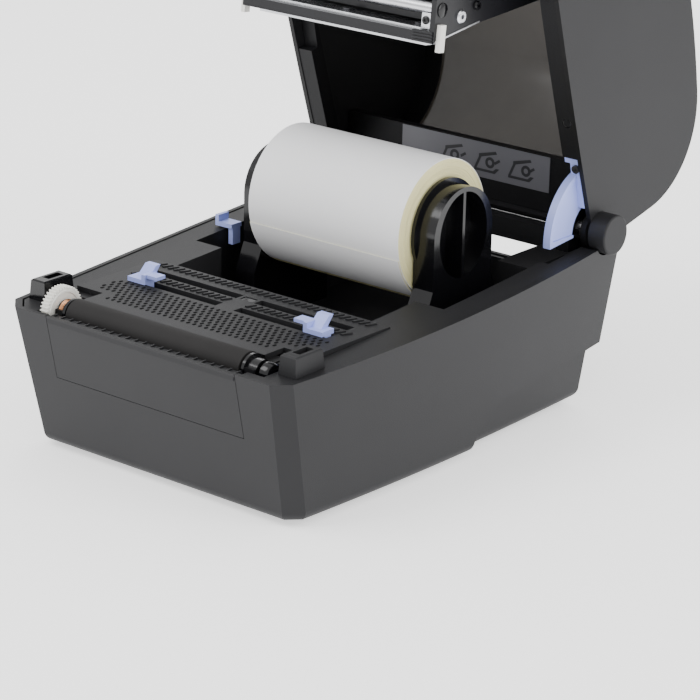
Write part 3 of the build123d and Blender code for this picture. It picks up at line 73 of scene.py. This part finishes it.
def material(name, color, rough, grain, bump, tint, metal=0.0, spec=0.5, coat=0.0,
             rough_vary=0.06, streak=None, alpha=1.0):
    """Plastic, metal or paper: fine grain in the bump and the roughness, slow change in colour."""
    m = bpy.data.materials.new(name)
    m.use_nodes = True
    nt = m.node_tree
    out = nt.nodes["Principled BSDF"]
    out.inputs["Metallic"].default_value = metal
    out.inputs["Specular IOR Level"].default_value = spec
    out.inputs["Coat Weight"].default_value = coat
    out.inputs["Coat Roughness"].default_value = COAT_ROUGH
    out.inputs["Alpha"].default_value = alpha
    coords = nt.nodes.new("ShaderNodeTexCoord")
    place = nt.nodes.new("ShaderNodeMapping")
    if streak:
        place.inputs["Scale"].default_value = streak
    nt.links.new(coords.outputs["Object"], place.inputs["Vector"])

    def noise(size_mm, detail):
        n = nt.nodes.new("ShaderNodeTexNoise")
        n.inputs["Scale"].default_value = 1000.0 / size_mm
        n.inputs["Detail"].default_value = detail
        nt.links.new(place.outputs["Vector"], n.inputs["Vector"])
        return n.outputs["Fac"]

    fine = noise(grain, 3)
    slow = noise(SLOW_MM, 4)
    bumper = nt.nodes.new("ShaderNodeBump")
    bumper.inputs["Strength"].default_value = bump
    bumper.inputs["Distance"].default_value = grain * MM * 0.5
    nt.links.new(fine, bumper.inputs["Height"])
    nt.links.new(bumper.outputs["Normal"], out.inputs["Normal"])
    ramp = nt.nodes.new("ShaderNodeValToRGB")
    dark, pale = ramp.color_ramp.elements
    dark.position, pale.position = 0.3, 0.7
    dark.color = [c * (1 - tint) for c in color] + [1]
    pale.color = [min(1, c * (1 + tint)) for c in color] + [1]
    nt.links.new(slow, ramp.inputs["Fac"])
    nt.links.new(ramp.outputs["Color"], out.inputs["Base Color"])
    spread = nt.nodes.new("ShaderNodeMapRange")
    spread.inputs["To Min"].default_value = max(0.02, rough - rough_vary)
    spread.inputs["To Max"].default_value = rough + rough_vary
    nt.links.new(fine, spread.inputs["Value"])
    nt.links.new(spread.outputs["Result"], out.inputs["Roughness"])
    return m


# Name, colour, roughness, grain in mm, bump and tint, and what sets the material apart.
CASE = material("case_plastic", (0.015, 0.015, 0.0165), 0.50, 0.55, 0.3, 0.06, spec=0.25)
DECK = material("deck_plastic", (0.016, 0.016, 0.0175), 0.52, 0.6, 0.3, 0.06, spec=0.25)
INNER = material("inner_plastic", (0.007, 0.007, 0.008), 0.5, 0.8, 0.25, 0.12, spec=0.2)
DEEP = material("deep_black", (0.004, 0.004, 0.0045), 0.6, 0.8, 0.2, 0.15, spec=0.1)
METAL_BLACK = material("black_plate", (0.010, 0.010, 0.012), 0.3, 0.8, 0.1, 0.15, spec=0.35)
GLOSS = material("gloss_black", (0.004, 0.004, 0.005), 0.16, 1.5, 0.04, 0.15, spec=0.35,
                 coat=0.15)
RUBBER = material("rubber", (0.019, 0.018, 0.018), 0.72, 0.35, 0.35, 0.15, spec=0.2)
BLUE = material("pastel_blue", (0.36, 0.42, 0.84), 0.34, 1.2, 0.08, 0.05)
NYLON = material("white_nylon", (0.80, 0.79, 0.74), 0.42, 0.5, 0.12, 0.05)
STEEL = material("steel", (0.56, 0.56, 0.58), 0.28, 0.5, 0.15, 0.10, metal=1.0,
                 streak=(0.08, 1, 1))
DARK_STEEL = material("dark_steel", (0.05, 0.05, 0.055), 0.3, 0.5, 0.1, 0.12, metal=0.6)
SILVER = material("head_silver", (0.70, 0.71, 0.74), 0.26, 0.4, 0.2, 0.08, metal=1.0,
                  streak=(0.06, 1, 1))
COPPER = material("copper", (0.75, 0.38, 0.20), 0.28, 0.4, 0.1, 0.08, metal=1.0)
WINDOW = material("smoked_window", (0.090, 0.077, 0.064), 0.22, 30.0, 0.0, 0.12, spec=0.3,
                  rough_vary=0.03, alpha=0.86)
PAPER = material("label_paper", (0.83, 0.83, 0.84), 0.55, 0.7, 0.10, 0.02, spec=0.3)
LINER = material("roll_end_liner", (0.74, 0.69, 0.38), 0.6, 0.5, 0.3, 0.10, spec=0.3)
CARD = material("card_core", (0.42, 0.30, 0.18), 0.8, 0.8, 0.4, 0.12, spec=0.2)
STICKER = material("sticker_grey", (0.13, 0.13, 0.145), 0.45, 0.8, 0.05, 0.05)
STICKER_INK = material("sticker_ink", (0.022, 0.022, 0.025), 0.5, 0.8, 0.05, 0.1)
BOARD = material("circuit_board", (0.012, 0.12, 0.04), 0.4, 1.2, 0.2, 0.15, coat=0.3)
LIGHT = material("status_light", (0.10, 0.38, 0.18), 0.2, 1.0, 0.05, 0.1, alpha=0.8)

NODE_MATERIALS = {
    CASE: "bottom_case front_panel lid_shell hinge_cap_left hinge_cap_right",
    DECK: "deck_cover media_platform latch_post_right",
    INNER: "platen_carrier holder_rack_left holder_rack_right hinge_brackets lid_frame"
           " lid_rear_panel ribbon_supply_spindle ribbon_takeup_spindle pivot_arms",
    GLOSS: "latch_post_left platen_bush_left platen_bush_right gap_sensor roll_holder_left"
           " roll_holder_right dc_socket switch_bezel power_switch feed_button",
    METAL_BLACK: "module_frame",
    RUBBER: "platen_roller rubber_feet",
    BLUE: "paper_guide_left paper_guide_right holder_lock lid_stay",
    NYLON: "platen_gear idler_gear motor_pinion holder_pinion module_hooks",
    STEEL: "case_screws platen_shaft motor_shaft stepper_motor gear_train_plate usb_socket"
           " hinge_pins tension_bar module_pivot_rod",
    DARK_STEEL: "guide_rail stay_screw head_screws",
    SILVER: "head_bracket print_head",
    WINDOW: "lid_window",
    PAPER: "label_roll",
    CARD: "roll_core",
    STICKER: "instruction_sticker",
    BOARD: "main_board",
    LIGHT: "status_lights",
}
SOFT_EDGES = {  # width of the rounded edge on a carried-over node, in millimetres
    "bottom_case": 0.7, "front_panel": 0.35, "deck_cover": 0.6, "lid_shell": 0.9,
    "lid_frame": 0.5, "lid_rear_panel": 0.5, "roll_holder_left": 0.8,
    "roll_holder_right": 0.8, "module_frame": 0.4, "hinge_brackets": 0.5,
    "media_platform": 0.3, "platen_carrier": 0.4, "lid_stay": 0.4, "holder_lock": 0.4,
    "switch_bezel": 0.4, "power_switch": 0.4, "print_head": 0.3, "stepper_motor": 0.5,
    "latch_post_left": 0.4, "latch_post_right": 0.4,
}
SHARP_DEG = 32  # faces that meet at more than this keep an edge between them


def soften(obj, width_mm):
    """Rounded edges where faces meet at a sharp angle."""
    mod = obj.modifiers.new("soft_edges", "BEVEL")
    mod.width = width_mm * MM
    mod.segments = 2
    mod.limit_method = "ANGLE"
    mod.angle_limit = math.radians(SHARP_DEG)
    mod.harden_normals = False


def smooth(obj, degrees=SHARP_DEG):
    obj.data.shade_smooth()
    obj.data.set_sharp_from_angle(angle=math.radians(degrees))


def paint_lid_inner_shade(mat):
    """Painted shade on the lid's inside, which faces the front while it stands open: those faces
    get a near-black colour standing in for the shadow there.
    """
    m = mat.copy()
    m.name = "lid_plastic_with_painted_shade"
    nt = m.node_tree
    shader = nt.nodes["Principled BSDF"]
    outside = shader.inputs["Base Color"].links[0].from_socket
    coords = nt.nodes.new("ShaderNodeTexCoord")
    split = nt.nodes.new("ShaderNodeSeparateXYZ")
    nt.links.new(coords.outputs["Normal"], split.inputs["Vector"])
    # Mask of the painted shade: 1 where the object-space normal points forward (Y below -0.45),
    # fading to 0 at -0.25.
    inside = nt.nodes.new("ShaderNodeMapRange")
    for end, value in (("From Min", -0.45), ("From Max", -0.25), ("To Min", 1.0), ("To Max", 0.0)):
        inside.inputs[end].default_value = value
    nt.links.new(split.outputs["Y"], inside.inputs["Value"])
    mix = nt.nodes.new("ShaderNodeMix")
    mix.data_type = "RGBA"
    nt.links.new(inside.outputs["Result"], mix.inputs["Factor"])
    nt.links.new(outside, mix.inputs["A"])
    # Near-black colour of the painted shade on the lid's inside.
    mix.inputs["B"].default_value = (0.005, 0.005, 0.0055, 1)
    nt.links.new(mix.outputs["Result"], shader.inputs["Base Color"])
    return m


for mat, names in NODE_MATERIALS.items():
    for name in names.split():
        node = NODES[name]
        node.data.materials.clear()
        node.data.materials.append(mat)
        if name in SOFT_EDGES:
            soften(node, SOFT_EDGES[name])
        smooth(node)
# The lid shell gets painted shade on its forward-facing inside.
NODES["lid_shell"].data.materials[0] = paint_lid_inner_shade(CASE)


# ---- building helpers, in millimetres -----------------------------------------------------
class Piece:
    """A mesh made in millimetres, turned into an object that rides on one body."""

    def __init__(self):
        self.bm = bmesh.new()
        self.slot = 0

    def paint(self, slot):
        """The material slot of all that is made from here on."""
        self.slot = slot
        return self

    def mark(self, faces):
        for f in faces:
            f.material_index = self.slot

    def box(self, x0, x1, y0, y1, z0, z1):
        made = bmesh.ops.create_cube(self.bm, size=1)
        for v in made["verts"]:
            v.co = Vector((
                (x0 + x1) / 2 + v.co.x * abs(x1 - x0),
                (y0 + y1) / 2 + v.co.y * abs(y1 - y0),
                (z0 + z1) / 2 + v.co.z * abs(z1 - z0),
            ))
        self.mark({f for v in made["verts"] for f in v.link_faces})

    def band(self, a, b):
        """Faces that join two rings of points one to one."""
        n = len(a)
        return [self.bm.faces.new((a[i], a[(i + 1) % n], b[(i + 1) % n], b[i])) for i in range(n)]

    def prism(self, start, end, open_start=False):
        """A solid between two outlines with the same number of points."""
        a, b = ([self.bm.verts.new(p) for p in ring] for ring in (start, end))
        faces = self.band(a, b) + [self.bm.faces.new(b)]
        if not open_start:
            faces.append(self.bm.faces.new(a[::-1]))
        self.mark(faces)

    def slab(self, points, x0, x1):
        """A prism along X whose outline is (y, z) points."""
        self.prism([(x0, y, z) for y, z in points], [(x1, y, z) for y, z in points])

    def lathe(self, profile, centre, steps=72, closed=True, axis="X"):
        """Turns (along, radius) points about an axis through (y, z), or (x, y) for axis Z."""
        rings = []
        for along, radius in profile:
            ring = []
            for k in range(steps):
                a = 2 * math.pi * k / steps
                u, v = centre[0] + radius * math.cos(a), centre[1] + radius * math.sin(a)
                ring.append(self.bm.verts.new((along, u, v) if axis == "X" else (u, v, along)))
            rings.append(ring)
        for i in range(len(rings) if closed else len(rings) - 1):
            self.mark(self.band(rings[i], rings[(i + 1) % len(rings)]))
        return [v for ring in rings for v in ring]

    def screw_head(self, centre, normal, radius, height, steps=24):
        """A pan head with a round recess, standing on centre and facing along normal."""
        profile = [(0, radius), (height * 0.55, radius), (height, radius * 0.72)]
        verts = self.lathe(profile, (0, 0), steps, closed=False, axis="Z")
        top = verts[-steps:]
        rim = [self.bm.verts.new(v.co * 0.45 + Vector((0, 0, height * 0.55))) for v in top]
        floor = [self.bm.verts.new((v.co.x, v.co.y, height * 0.35)) for v in rim]
        self.mark(self.band(top, rim) + self.band(rim, floor))
        self.mark([self.bm.faces.new(floor), self.bm.faces.new(verts[:steps][::-1])])
        turn = Vector(normal).to_track_quat("Z", "Y").to_matrix()
        for v in verts + rim + floor:
            v.co = turn @ v.co + Vector(centre)

    def done(self, name, mats, body, soft=0.0, replaces=(), sharp=SHARP_DEG, turns=()):
        """Finishes the piece; turns are those that take it from shut to open."""
        for centre, angle in turns:
            turn = Matrix.Rotation(angle, 3, "X")
            for v in self.bm.verts:
                v.co = turn @ (v.co - centre) + centre
        bmesh.ops.scale(self.bm, vec=(MM, MM, MM), verts=self.bm.verts)
        bmesh.ops.recalc_face_normals(self.bm, faces=self.bm.faces)
        mesh = bpy.data.meshes.new(name)
        self.bm.to_mesh(mesh)
        self.bm.free()
        obj = bpy.data.objects.new(name, mesh)
        bpy.context.scene.collection.objects.link(obj)
        for m in mats:
            mesh.materials.append(m)
        if soft:
            soften(obj, soft)
        smooth(obj, sharp)
        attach(obj, body)
        if replaces:
            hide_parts(*replaces)


# ---- label roll: white labels outside, yellow liner in the wound ends ---------------------
roll_low, roll_high = corner_mm("label_roll")
core_low, core_high = corner_mm("roll_core")
ROLL_AXIS = (ROLL.y, ROLL.z)
ROLL_HALF = roll_high.x
ROLL_R = (roll_high.z - roll_low.z) / 2
CORE_R = (core_high.z - core_low.z) / 2
SKIN = 0.35  # thickness of the white outer turn
WINDS = 30  # turns that show on each end
GROOVE = 0.05  # half the groove between two turns

skin_x = ROLL_HALF - 0.25
round_x = ROLL_HALF - 0.6
roll = Piece()
roll.lathe([(-skin_x, ROLL_R - SKIN), (-skin_x, ROLL_R - 0.02), (-round_x, ROLL_R),
            (round_x, ROLL_R), (skin_x, ROLL_R - 0.02), (skin_x, ROLL_R - SKIN)], ROLL_AXIS, 160)
wind = (ROLL_R - SKIN - CORE_R) / WINDS
for side in (-1, 1):
    profile = []
    for i in range(WINDS):
        # Every other turn lies deeper, and a slow wave runs over all of them.
        dip = (0.10 if i % 2 else 0.0) + 0.08 * math.sin(i * 1.7)
        end_x = side * (ROLL_HALF - 0.12 - dip)
        inner_r = CORE_R + i * wind
        profile += [(end_x, inner_r + GROOVE), (end_x, inner_r + wind - GROOVE)]
    hidden_x = side * (ROLL_HALF - 3)
    profile += [(hidden_x, ROLL_R - SKIN - GROOVE), (hidden_x, CORE_R)]
    roll.paint(1).lathe(profile, ROLL_AXIS, 120)
roll.done("label_roll_wound", [PAPER, LINER], "roll", replaces=("label_roll",), sharp=40)

# The leading end leaves the roll low at the front and curls a little away from it.
TAIL_STEPS = 24
TAIL_FROM, TAIL_SWEEP = 196, 62  # degrees about the roll
TAIL_LIFT, TAIL_CURL = 0.25, 2.6  # distance from the roll where it starts, and what is added
LINER_THICK = 0.15
LABEL_STEPS = 18  # the last label ends here, and bare liner follows
LABEL_OUT = 1.004  # the label's face, as a share of the liner's distance from the axis


def tail_line(thick):
    points = []
    for k in range(TAIL_STEPS + 1):
        t = k / TAIL_STEPS
        a = math.radians(TAIL_FROM + TAIL_SWEEP * t)
        r = ROLL_R + TAIL_LIFT + TAIL_CURL * t * t + thick
        points.append((ROLL.y + r * math.cos(a), ROLL.z + r * math.sin(a)))
    return points


tail = Piece()
outer = tail_line(LINER_THICK)
tail.slab(outer + tail_line(0.0)[::-1], -ROLL_HALF + 0.3, ROLL_HALF - 0.3)
label_in = outer[:LABEL_STEPS]
label_out = [(ROLL.y + (y - ROLL.y) * LABEL_OUT, ROLL.z + (z - ROLL.z) * LABEL_OUT)
             for y, z in label_in]
tail.paint(1).slab(label_out + label_in[::-1], -ROLL_HALF + 0.5, ROLL_HALF - 0.5)
tail.done("label_roll_leading_end", [LINER, PAPER], "roll", sharp=40)

# ---- platen: the gear's hub and rings, contact spring, knob at the right end ---------------
PLATEN_AXIS = (PLATEN.y, PLATEN.z)
SUNK = 0.1  # how far a fitting reaches into what it stands on
gear_low, gear_high = corner_mm("platen_gear")
hub_out, hub_in = gear_low.x - 1.4, gear_low.x + SUNK
hub = Piece()
hub.lathe([(hub_out, 3.1), (hub_out, 5.2), (hub_out + 0.5, 5.8), (hub_in, 5.8), (hub_in, 3.1)],
          PLATEN_AXIS, 48)
for face_x, proud in ((gear_low.x, -0.7), (gear_high.x, 0.5)):
    ring_in = face_x - math.copysign(SUNK, proud)
    hub.lathe([(face_x + proud, 9.4), (face_x + proud, 10.4), (ring_in, 10.6), (ring_in, 9.2)],
              PLATEN_AXIS)
hub.done("platen_gear_hub", [NYLON], "platen")

knob_in = corner_mm("platen_bush_right")[1].x + 0.4
knob_out = corner_mm("platen_shaft")[1].x + 4.0
knob = Piece()
knob.lathe([(knob_in, 3.02), (knob_in, 4.6), (knob_in + 1.5, 5.6), (knob_out - 1.4, 5.6),
            (knob_out - 0.4, 5.0), (knob_out, 3.8), (knob_out, 0.4), (knob_out - 0.5, 0.4),
            (knob_out - 0.5, 3.02)], PLATEN_AXIS, 48)
knob.done("platen_knob", [GLOSS], "platen")

COIL_PITCH = 0.55
spring = Piece()
for k in range(5):
    coil_x = gear_high.x + 1.4 + k * COIL_PITCH
    spring.lathe([(coil_x, 6.12), (coil_x + 0.3, 6.35), (coil_x + 0.5, 6.12)], PLATEN_AXIS, 40)
spring.done("contact_spring", [COPPER], "platen")

# ---- media platform: rows of raised dashes, slanting ribs, floors of the two slots ---------
TOP = PLATE_HIGH.z
RAIL_Y = corner_mm("guide_rail")[0].y + 1.4
SENSOR_Y = sum(c.y for c in corner_mm("gap_sensor")) / 2
ROW_PITCH = 3.4
COLUMN_PITCH = 3.9
DASH_WIDE, DASH_LONG, DASH_HIGH = 1.7, 3.0, 0.3
DASH_OUTLINE = ((-1, -0.6), (0, -1), (1, -0.6), (1, 0.6), (0, 1), (-1, 0.6))
ROOT = 0.05  # how far dashes and ribs reach into the platform

dashes = Piece()
for row in range(int((PLATE_HIGH.y - PLATE_LOW.y) / ROW_PITCH)):
    cy = PLATE_LOW.y + 10.0 + row * ROW_PITCH
    if cy > RAIL_Y - 5.0:
        continue
    half = 56.0 if cy < PLATE_LOW.y + 19 else 72.0
    count = int(2 * half / COLUMN_PITCH)
    for column in range(count):
        cx = (column - (count - 1) / 2 + 0.5 * (row % 2)) * COLUMN_PITCH
        foot = [(px * DASH_WIDE / 2, py * DASH_LONG / 2) for px, py in DASH_OUTLINE]
        dashes.prism([(cx + px, cy + py, TOP - ROOT) for px, py in foot],
                     [(cx + px * 0.7, cy + py * 0.8, TOP + DASH_HIGH) for px, py in foot],
                     open_start=True)
dashes.done("platform_pattern", [DEEP], "base", sharp=60)

RIB_PITCH = 4.1
RIB_HALF_Y = 2.6
ribs = Piece()
between = (RAIL_Y + SENSOR_Y) / 2
for cy in (between, PLATE_HIGH.y - 4.6):
    for column in range(35):
        cx = (column - 17) * RIB_PITCH
        if abs(cx) < 6 and cy == between:
            continue
        foot = [(cx - 1.9, cy - RIB_HALF_Y), (cx - 0.5, cy - RIB_HALF_Y),
                (cx + 1.9, cy + RIB_HALF_Y), (cx + 0.5, cy + RIB_HALF_Y)]
        ribs.prism([(*p, TOP - ROOT) for p in foot], [(*p, TOP + 0.8) for p in foot])
ribs.done("platform_ribs", [DECK], "base", soft=0.15, sharp=40)

floors = Piece()
for cy in (RAIL_Y, SENSOR_Y):
    floors.box(-65.5, 65.5, cy - 2.9, cy + 2.9, TOP - 9.5, TOP - 9.0)
floors.done("slot_floors", [DEEP], "base")

# ---- base: upright ribs on the front wall of the roll's bay --------------------------------
BAY_FRONT = PLATE_HIGH.y + 2.2
BAY_RIB_PITCH = 9.6
bay = Piece()
for i in range(13):
    cx = (i - 6) * BAY_RIB_PITCH
    bay.box(cx - 0.7, cx + 0.7, BAY_FRONT - 0.1, BAY_FRONT + 1.6, 42, 70)
bay.done("bay_ribs", [INNER], "base", soft=0.2)

# ---- lid: sticker drawings, screw well and small bracket, built in the shut position -------
LID_TURN = ((HINGE, -OPEN),)
STRIP_X = corner_mm("lid_shell")[1].x - 8.0  # middle of the inner frame's right strip


def shut_lid(ahead, above):
    """The (y, z) of a point of the shut lid, ahead of the hinge and above it."""
    return HINGE.y - ahead, HINGE.z + above


# The sloping panel's sticker, whose face has its own axes: X, UP along the slope, and OUT.
STICKER_LOW = Vector((0.0, *shut_lid(5.0, 15.7)))
STICKER_HIGH = Vector((0.0, *shut_lid(25.0, 20.3)))
UP = (STICKER_HIGH - STICKER_LOW).normalized()
OUT = Vector((0.0, -UP.z, UP.y))
STICKER_T = 0.3
INK_LIFT = 0.12
art = Piece()


def decal(points):
    """A thin raised shape on the sticker, from (x, up) points."""
    art.prism(*([Vector((u, 0, 0)) + STICKER_LOW + UP * v + OUT * height for u, v in points]
                for height in (STICKER_T - 0.02, STICKER_T + INK_LIFT)))


def ring_decal(u, v, r_out, r_in, steps=20):
    for k in range(steps):
        a, b = 2 * math.pi * k / steps, 2 * math.pi * (k + 1) / steps
        corners = ((r_in, a), (r_out, a), (r_out, b), (r_in, b))
        decal([(u + r * math.cos(angle), v + r * math.sin(angle)) for r, angle in corners])


# Three generic drawings, each a roll over a tray under an open lid.
for k, u in enumerate((-14.0, 9.0, 32.0)):
    decal([(u - 9, 4.0), (u + 5, 4.0), (u + 8, 7.0), (u + 5.6, 7.0), (u + 3.8, 5.4), (u - 9, 5.4)])
    decal([(u - 9, 5.4), (u - 7.4, 5.4), (u - 4.4, 12.0), (u - 6.0, 12.0)])
    decal([(u - 6.0, 12.0), (u - 4.4, 12.0), (u + 6.0, 15.0), (u + 5.2, 16.4), (u - 6.0, 13.6)])
    ring_decal(u + 0.5 + k, 9.6, 3.1, 1.5)
    decal([(u + 5.0, 9.0), (u + 8.4, 11.2), (u + 7.6, 12.4), (u + 4.4, 10.4)])
art.done("sticker_drawings", [STICKER_INK], "lid", turns=LID_TURN)

well_y, well_z = shut_lid(66.0, -10.4)
bracket_y, bracket_z = shut_lid(50.0, -7.0)
strip = Piece()
strip.lathe([(well_z - 0.5, 2.7), (well_z + 0.4, 2.7), (well_z + 0.4, 1.9), (well_z - 0.5, 1.9)],
            (STRIP_X + 2.0, well_y), 32, axis="Z")
strip.box(STRIP_X - 4.0, STRIP_X + 0.5, bracket_y - 1.2, bracket_y + 1.2,
          bracket_z - 1.6, bracket_z + 1.4)
strip.done("frame_fittings", [GLOSS], "lid", soft=0.15, turns=LID_TURN)

# ---- print module: what shows at its front right corner, built in the shut position --------
NIP = PLATEN.z + 8.0  # height of the module's lower edge
FOLD = math.radians(71.0)  # the module folds down by this as the lid opens
PIVOT = Matrix.Rotation(OPEN, 3, "X") @ (PIVOT_OPEN - HINGE) + HINGE
MODULE_TURN = ((PIVOT, FOLD), (HINGE, -OPEN))
MODULE_X = corner_mm("module_frame")[1].x
FRONT = PLATEN.y - 6.0
LEAF_PITCH = 1.5

fittings = Piece()
# A stack of four black leaves on a backing plate.
for k in range(4):
    z = NIP + 2.6 + LEAF_PITCH * k
    fittings.box(MODULE_X - 13.0, MODULE_X - 0.5, FRONT - 0.9 - 0.1 * (k % 2), FRONT + 0.5,
                 z, z + 1.1)
fittings.box(MODULE_X - 12.6, MODULE_X - 0.8, FRONT - 0.4, FRONT + 0.6, NIP + 2.6, NIP + 8.4)
# Silver bracket that carries the bar's end, with its black screw.
bracket_x = (MODULE_X - 9.0, MODULE_X - 3.4)
fittings.paint(1).box(*bracket_x, FRONT + 0.8, FRONT + 2.0, NIP + 9.2, NIP + 17.0)
fittings.box(*bracket_x, FRONT + 0.8, FRONT + 7.5, NIP + 9.2, NIP + 10.2)
fittings.paint(2).screw_head(((bracket_x[0] + bracket_x[1]) / 2, FRONT + 0.8, NIP + 13.4),
                             (0, -1, 0), 2.1, 1.1)
# Black hem along the front edge.
fittings.paint(0).box(-MODULE_X + 1.0, MODULE_X - 13.4, FRONT - 0.25, FRONT + 0.2,
                      NIP + 2.7, NIP + 3.2)
fittings.done("module_fittings", [METAL_BLACK, SILVER, GLOSS], "print_module",
              soft=0.15, turns=MODULE_TURN)

# Round ends of shafts and bushes on the outside of the right side plate: how far behind the
# platen and above the nip, radius and height. The large ones are silver.
SHAFT_ENDS = ((14, 15, 3.4, 1.6), (26, 20, 2.4, 2.0), (38, 27, 4.6, 1.4), (52, 31, 2.2, 1.8),
              (66, 36, 3.0, 1.4), (80, 38, 2.2, 1.6))
plate_side = Piece()
for behind, above, radius, high in SHAFT_ENDS:
    root_x, end_x = MODULE_X - 0.2, MODULE_X + high
    plate_side.paint(1 if radius > 3 else 0).lathe(
        [(root_x, radius), (MODULE_X + high * 0.6, radius), (end_x, radius * 0.8),
         (end_x, radius * 0.35), (MODULE_X + high * 0.4, radius * 0.3), (root_x, radius * 0.3)],
        (PLATEN.y + behind, NIP + above), 36)
plate_side.paint(0).lathe(
    [(MODULE_X - SUNK, 3.7), (MODULE_X + 0.5, 3.7), (MODULE_X + 0.9, 3.0), (MODULE_X + 0.9, 0.02),
     (MODULE_X - SUNK, 0.02)], (PLATEN.y - 1.0, NIP + 19.0), 36)
# Bright hem along the plate's lower edge.
plate_side.paint(2).slab(
    [(PLATEN.y - 5.0, NIP + 3.0), (PLATEN.y + 30.0, NIP + 11.3), (PLATEN.y + 30.0, NIP + 12.1),
     (PLATEN.y - 5.0, NIP + 3.8)], MODULE_X - SUNK, MODULE_X + 0.35)
plate_side.done("module_side_fittings", [GLOSS, SILVER, STEEL], "print_module",
                turns=MODULE_TURN)

# ---- floor, light and camera, in metres ----------------------------------------------------
FLOOR_HALF = 6
FLOOR_DROP = 0.0002  # keeps the floor clear of the feet
FLOOR_GLOW = 0.9
WORLD_GLOW = 1.22
mesh = bpy.data.meshes.new("floor")
bm = bmesh.new()
bmesh.ops.create_grid(bm, x_segments=1, y_segments=1, size=FLOOR_HALF)
bm.to_mesh(mesh)
bm.free()
floor_obj = bpy.data.objects.new("floor", mesh)
bpy.context.scene.collection.objects.link(floor_obj)
floor_obj.location.z = -FLOOR_DROP
floor_pale = material("floor_pale", (0.93, 0.93, 0.93), 0.9, 6.0, 0.0, 0.005, spec=0.1)
glow = floor_pale.node_tree.nodes["Principled BSDF"].inputs
glow["Emission Color"].default_value = (1, 1, 1, 1)
glow["Emission Strength"].default_value = FLOOR_GLOW
mesh.materials.append(floor_pale)

world = bpy.data.worlds.new("studio")
bpy.context.scene.world = world
world.use_nodes = True
world.node_tree.nodes["Background"].inputs["Color"].default_value = (1.0, 1.0, 1.0, 1)
world.node_tree.nodes["Background"].inputs["Strength"].default_value = WORLD_GLOW


def area_light(name, place, aim, size, power):
    data = bpy.data.lights.new(name, "AREA")
    data.shape = "RECTANGLE"
    data.size, data.size_y = size
    data.energy = power
    lamp = bpy.data.objects.new(name, data)
    lamp.location = place
    lamp.rotation_euler = (Vector(aim) - Vector(place)).to_track_quat("-Z", "Y").to_euler()
    bpy.context.scene.collection.objects.link(lamp)


area_light("key", (-0.5, -0.9, 1.3), (0, 0, 0.1), (0.9, 0.9), 13)
area_light("side", (1.4, 0.2, 0.8), (0, 0, 0.1), (0.8, 1.2), 10)
area_light("rear", (-0.6, 1.3, 1.1), (0, 0.05, 0.2), (1.2, 0.6), 8)

# The photograph's viewing angle, with its slight roll to one side.
EYE = Vector((905.4, -1113.3, 540.2)) * MM
AIM = Vector((40.0, -65.3, 60.8)) * MM
TILT = math.radians(1.1)
forward = (AIM - EYE).normalized()
level_right = forward.cross(Vector((0, 0, 1))).normalized()
level_up = level_right.cross(forward)
right = level_right * math.cos(TILT) + level_up * math.sin(TILT)
up = level_up * math.cos(TILT) - level_right * math.sin(TILT)
camera_data = bpy.data.cameras.new("camera")
camera_data.sensor_width = 36
camera_data.lens = 148.8
camera_data.shift_x = 0.0186
camera_data.shift_y = -0.0079
camera_data.clip_end = 50
camera = bpy.data.objects.new("camera", camera_data)
axes = Matrix((right, up, -forward)).transposed().to_4x4()
camera.matrix_world = Matrix.Translation(EYE) @ axes
bpy.context.scene.collection.objects.link(camera)
bpy.context.scene.camera = camera
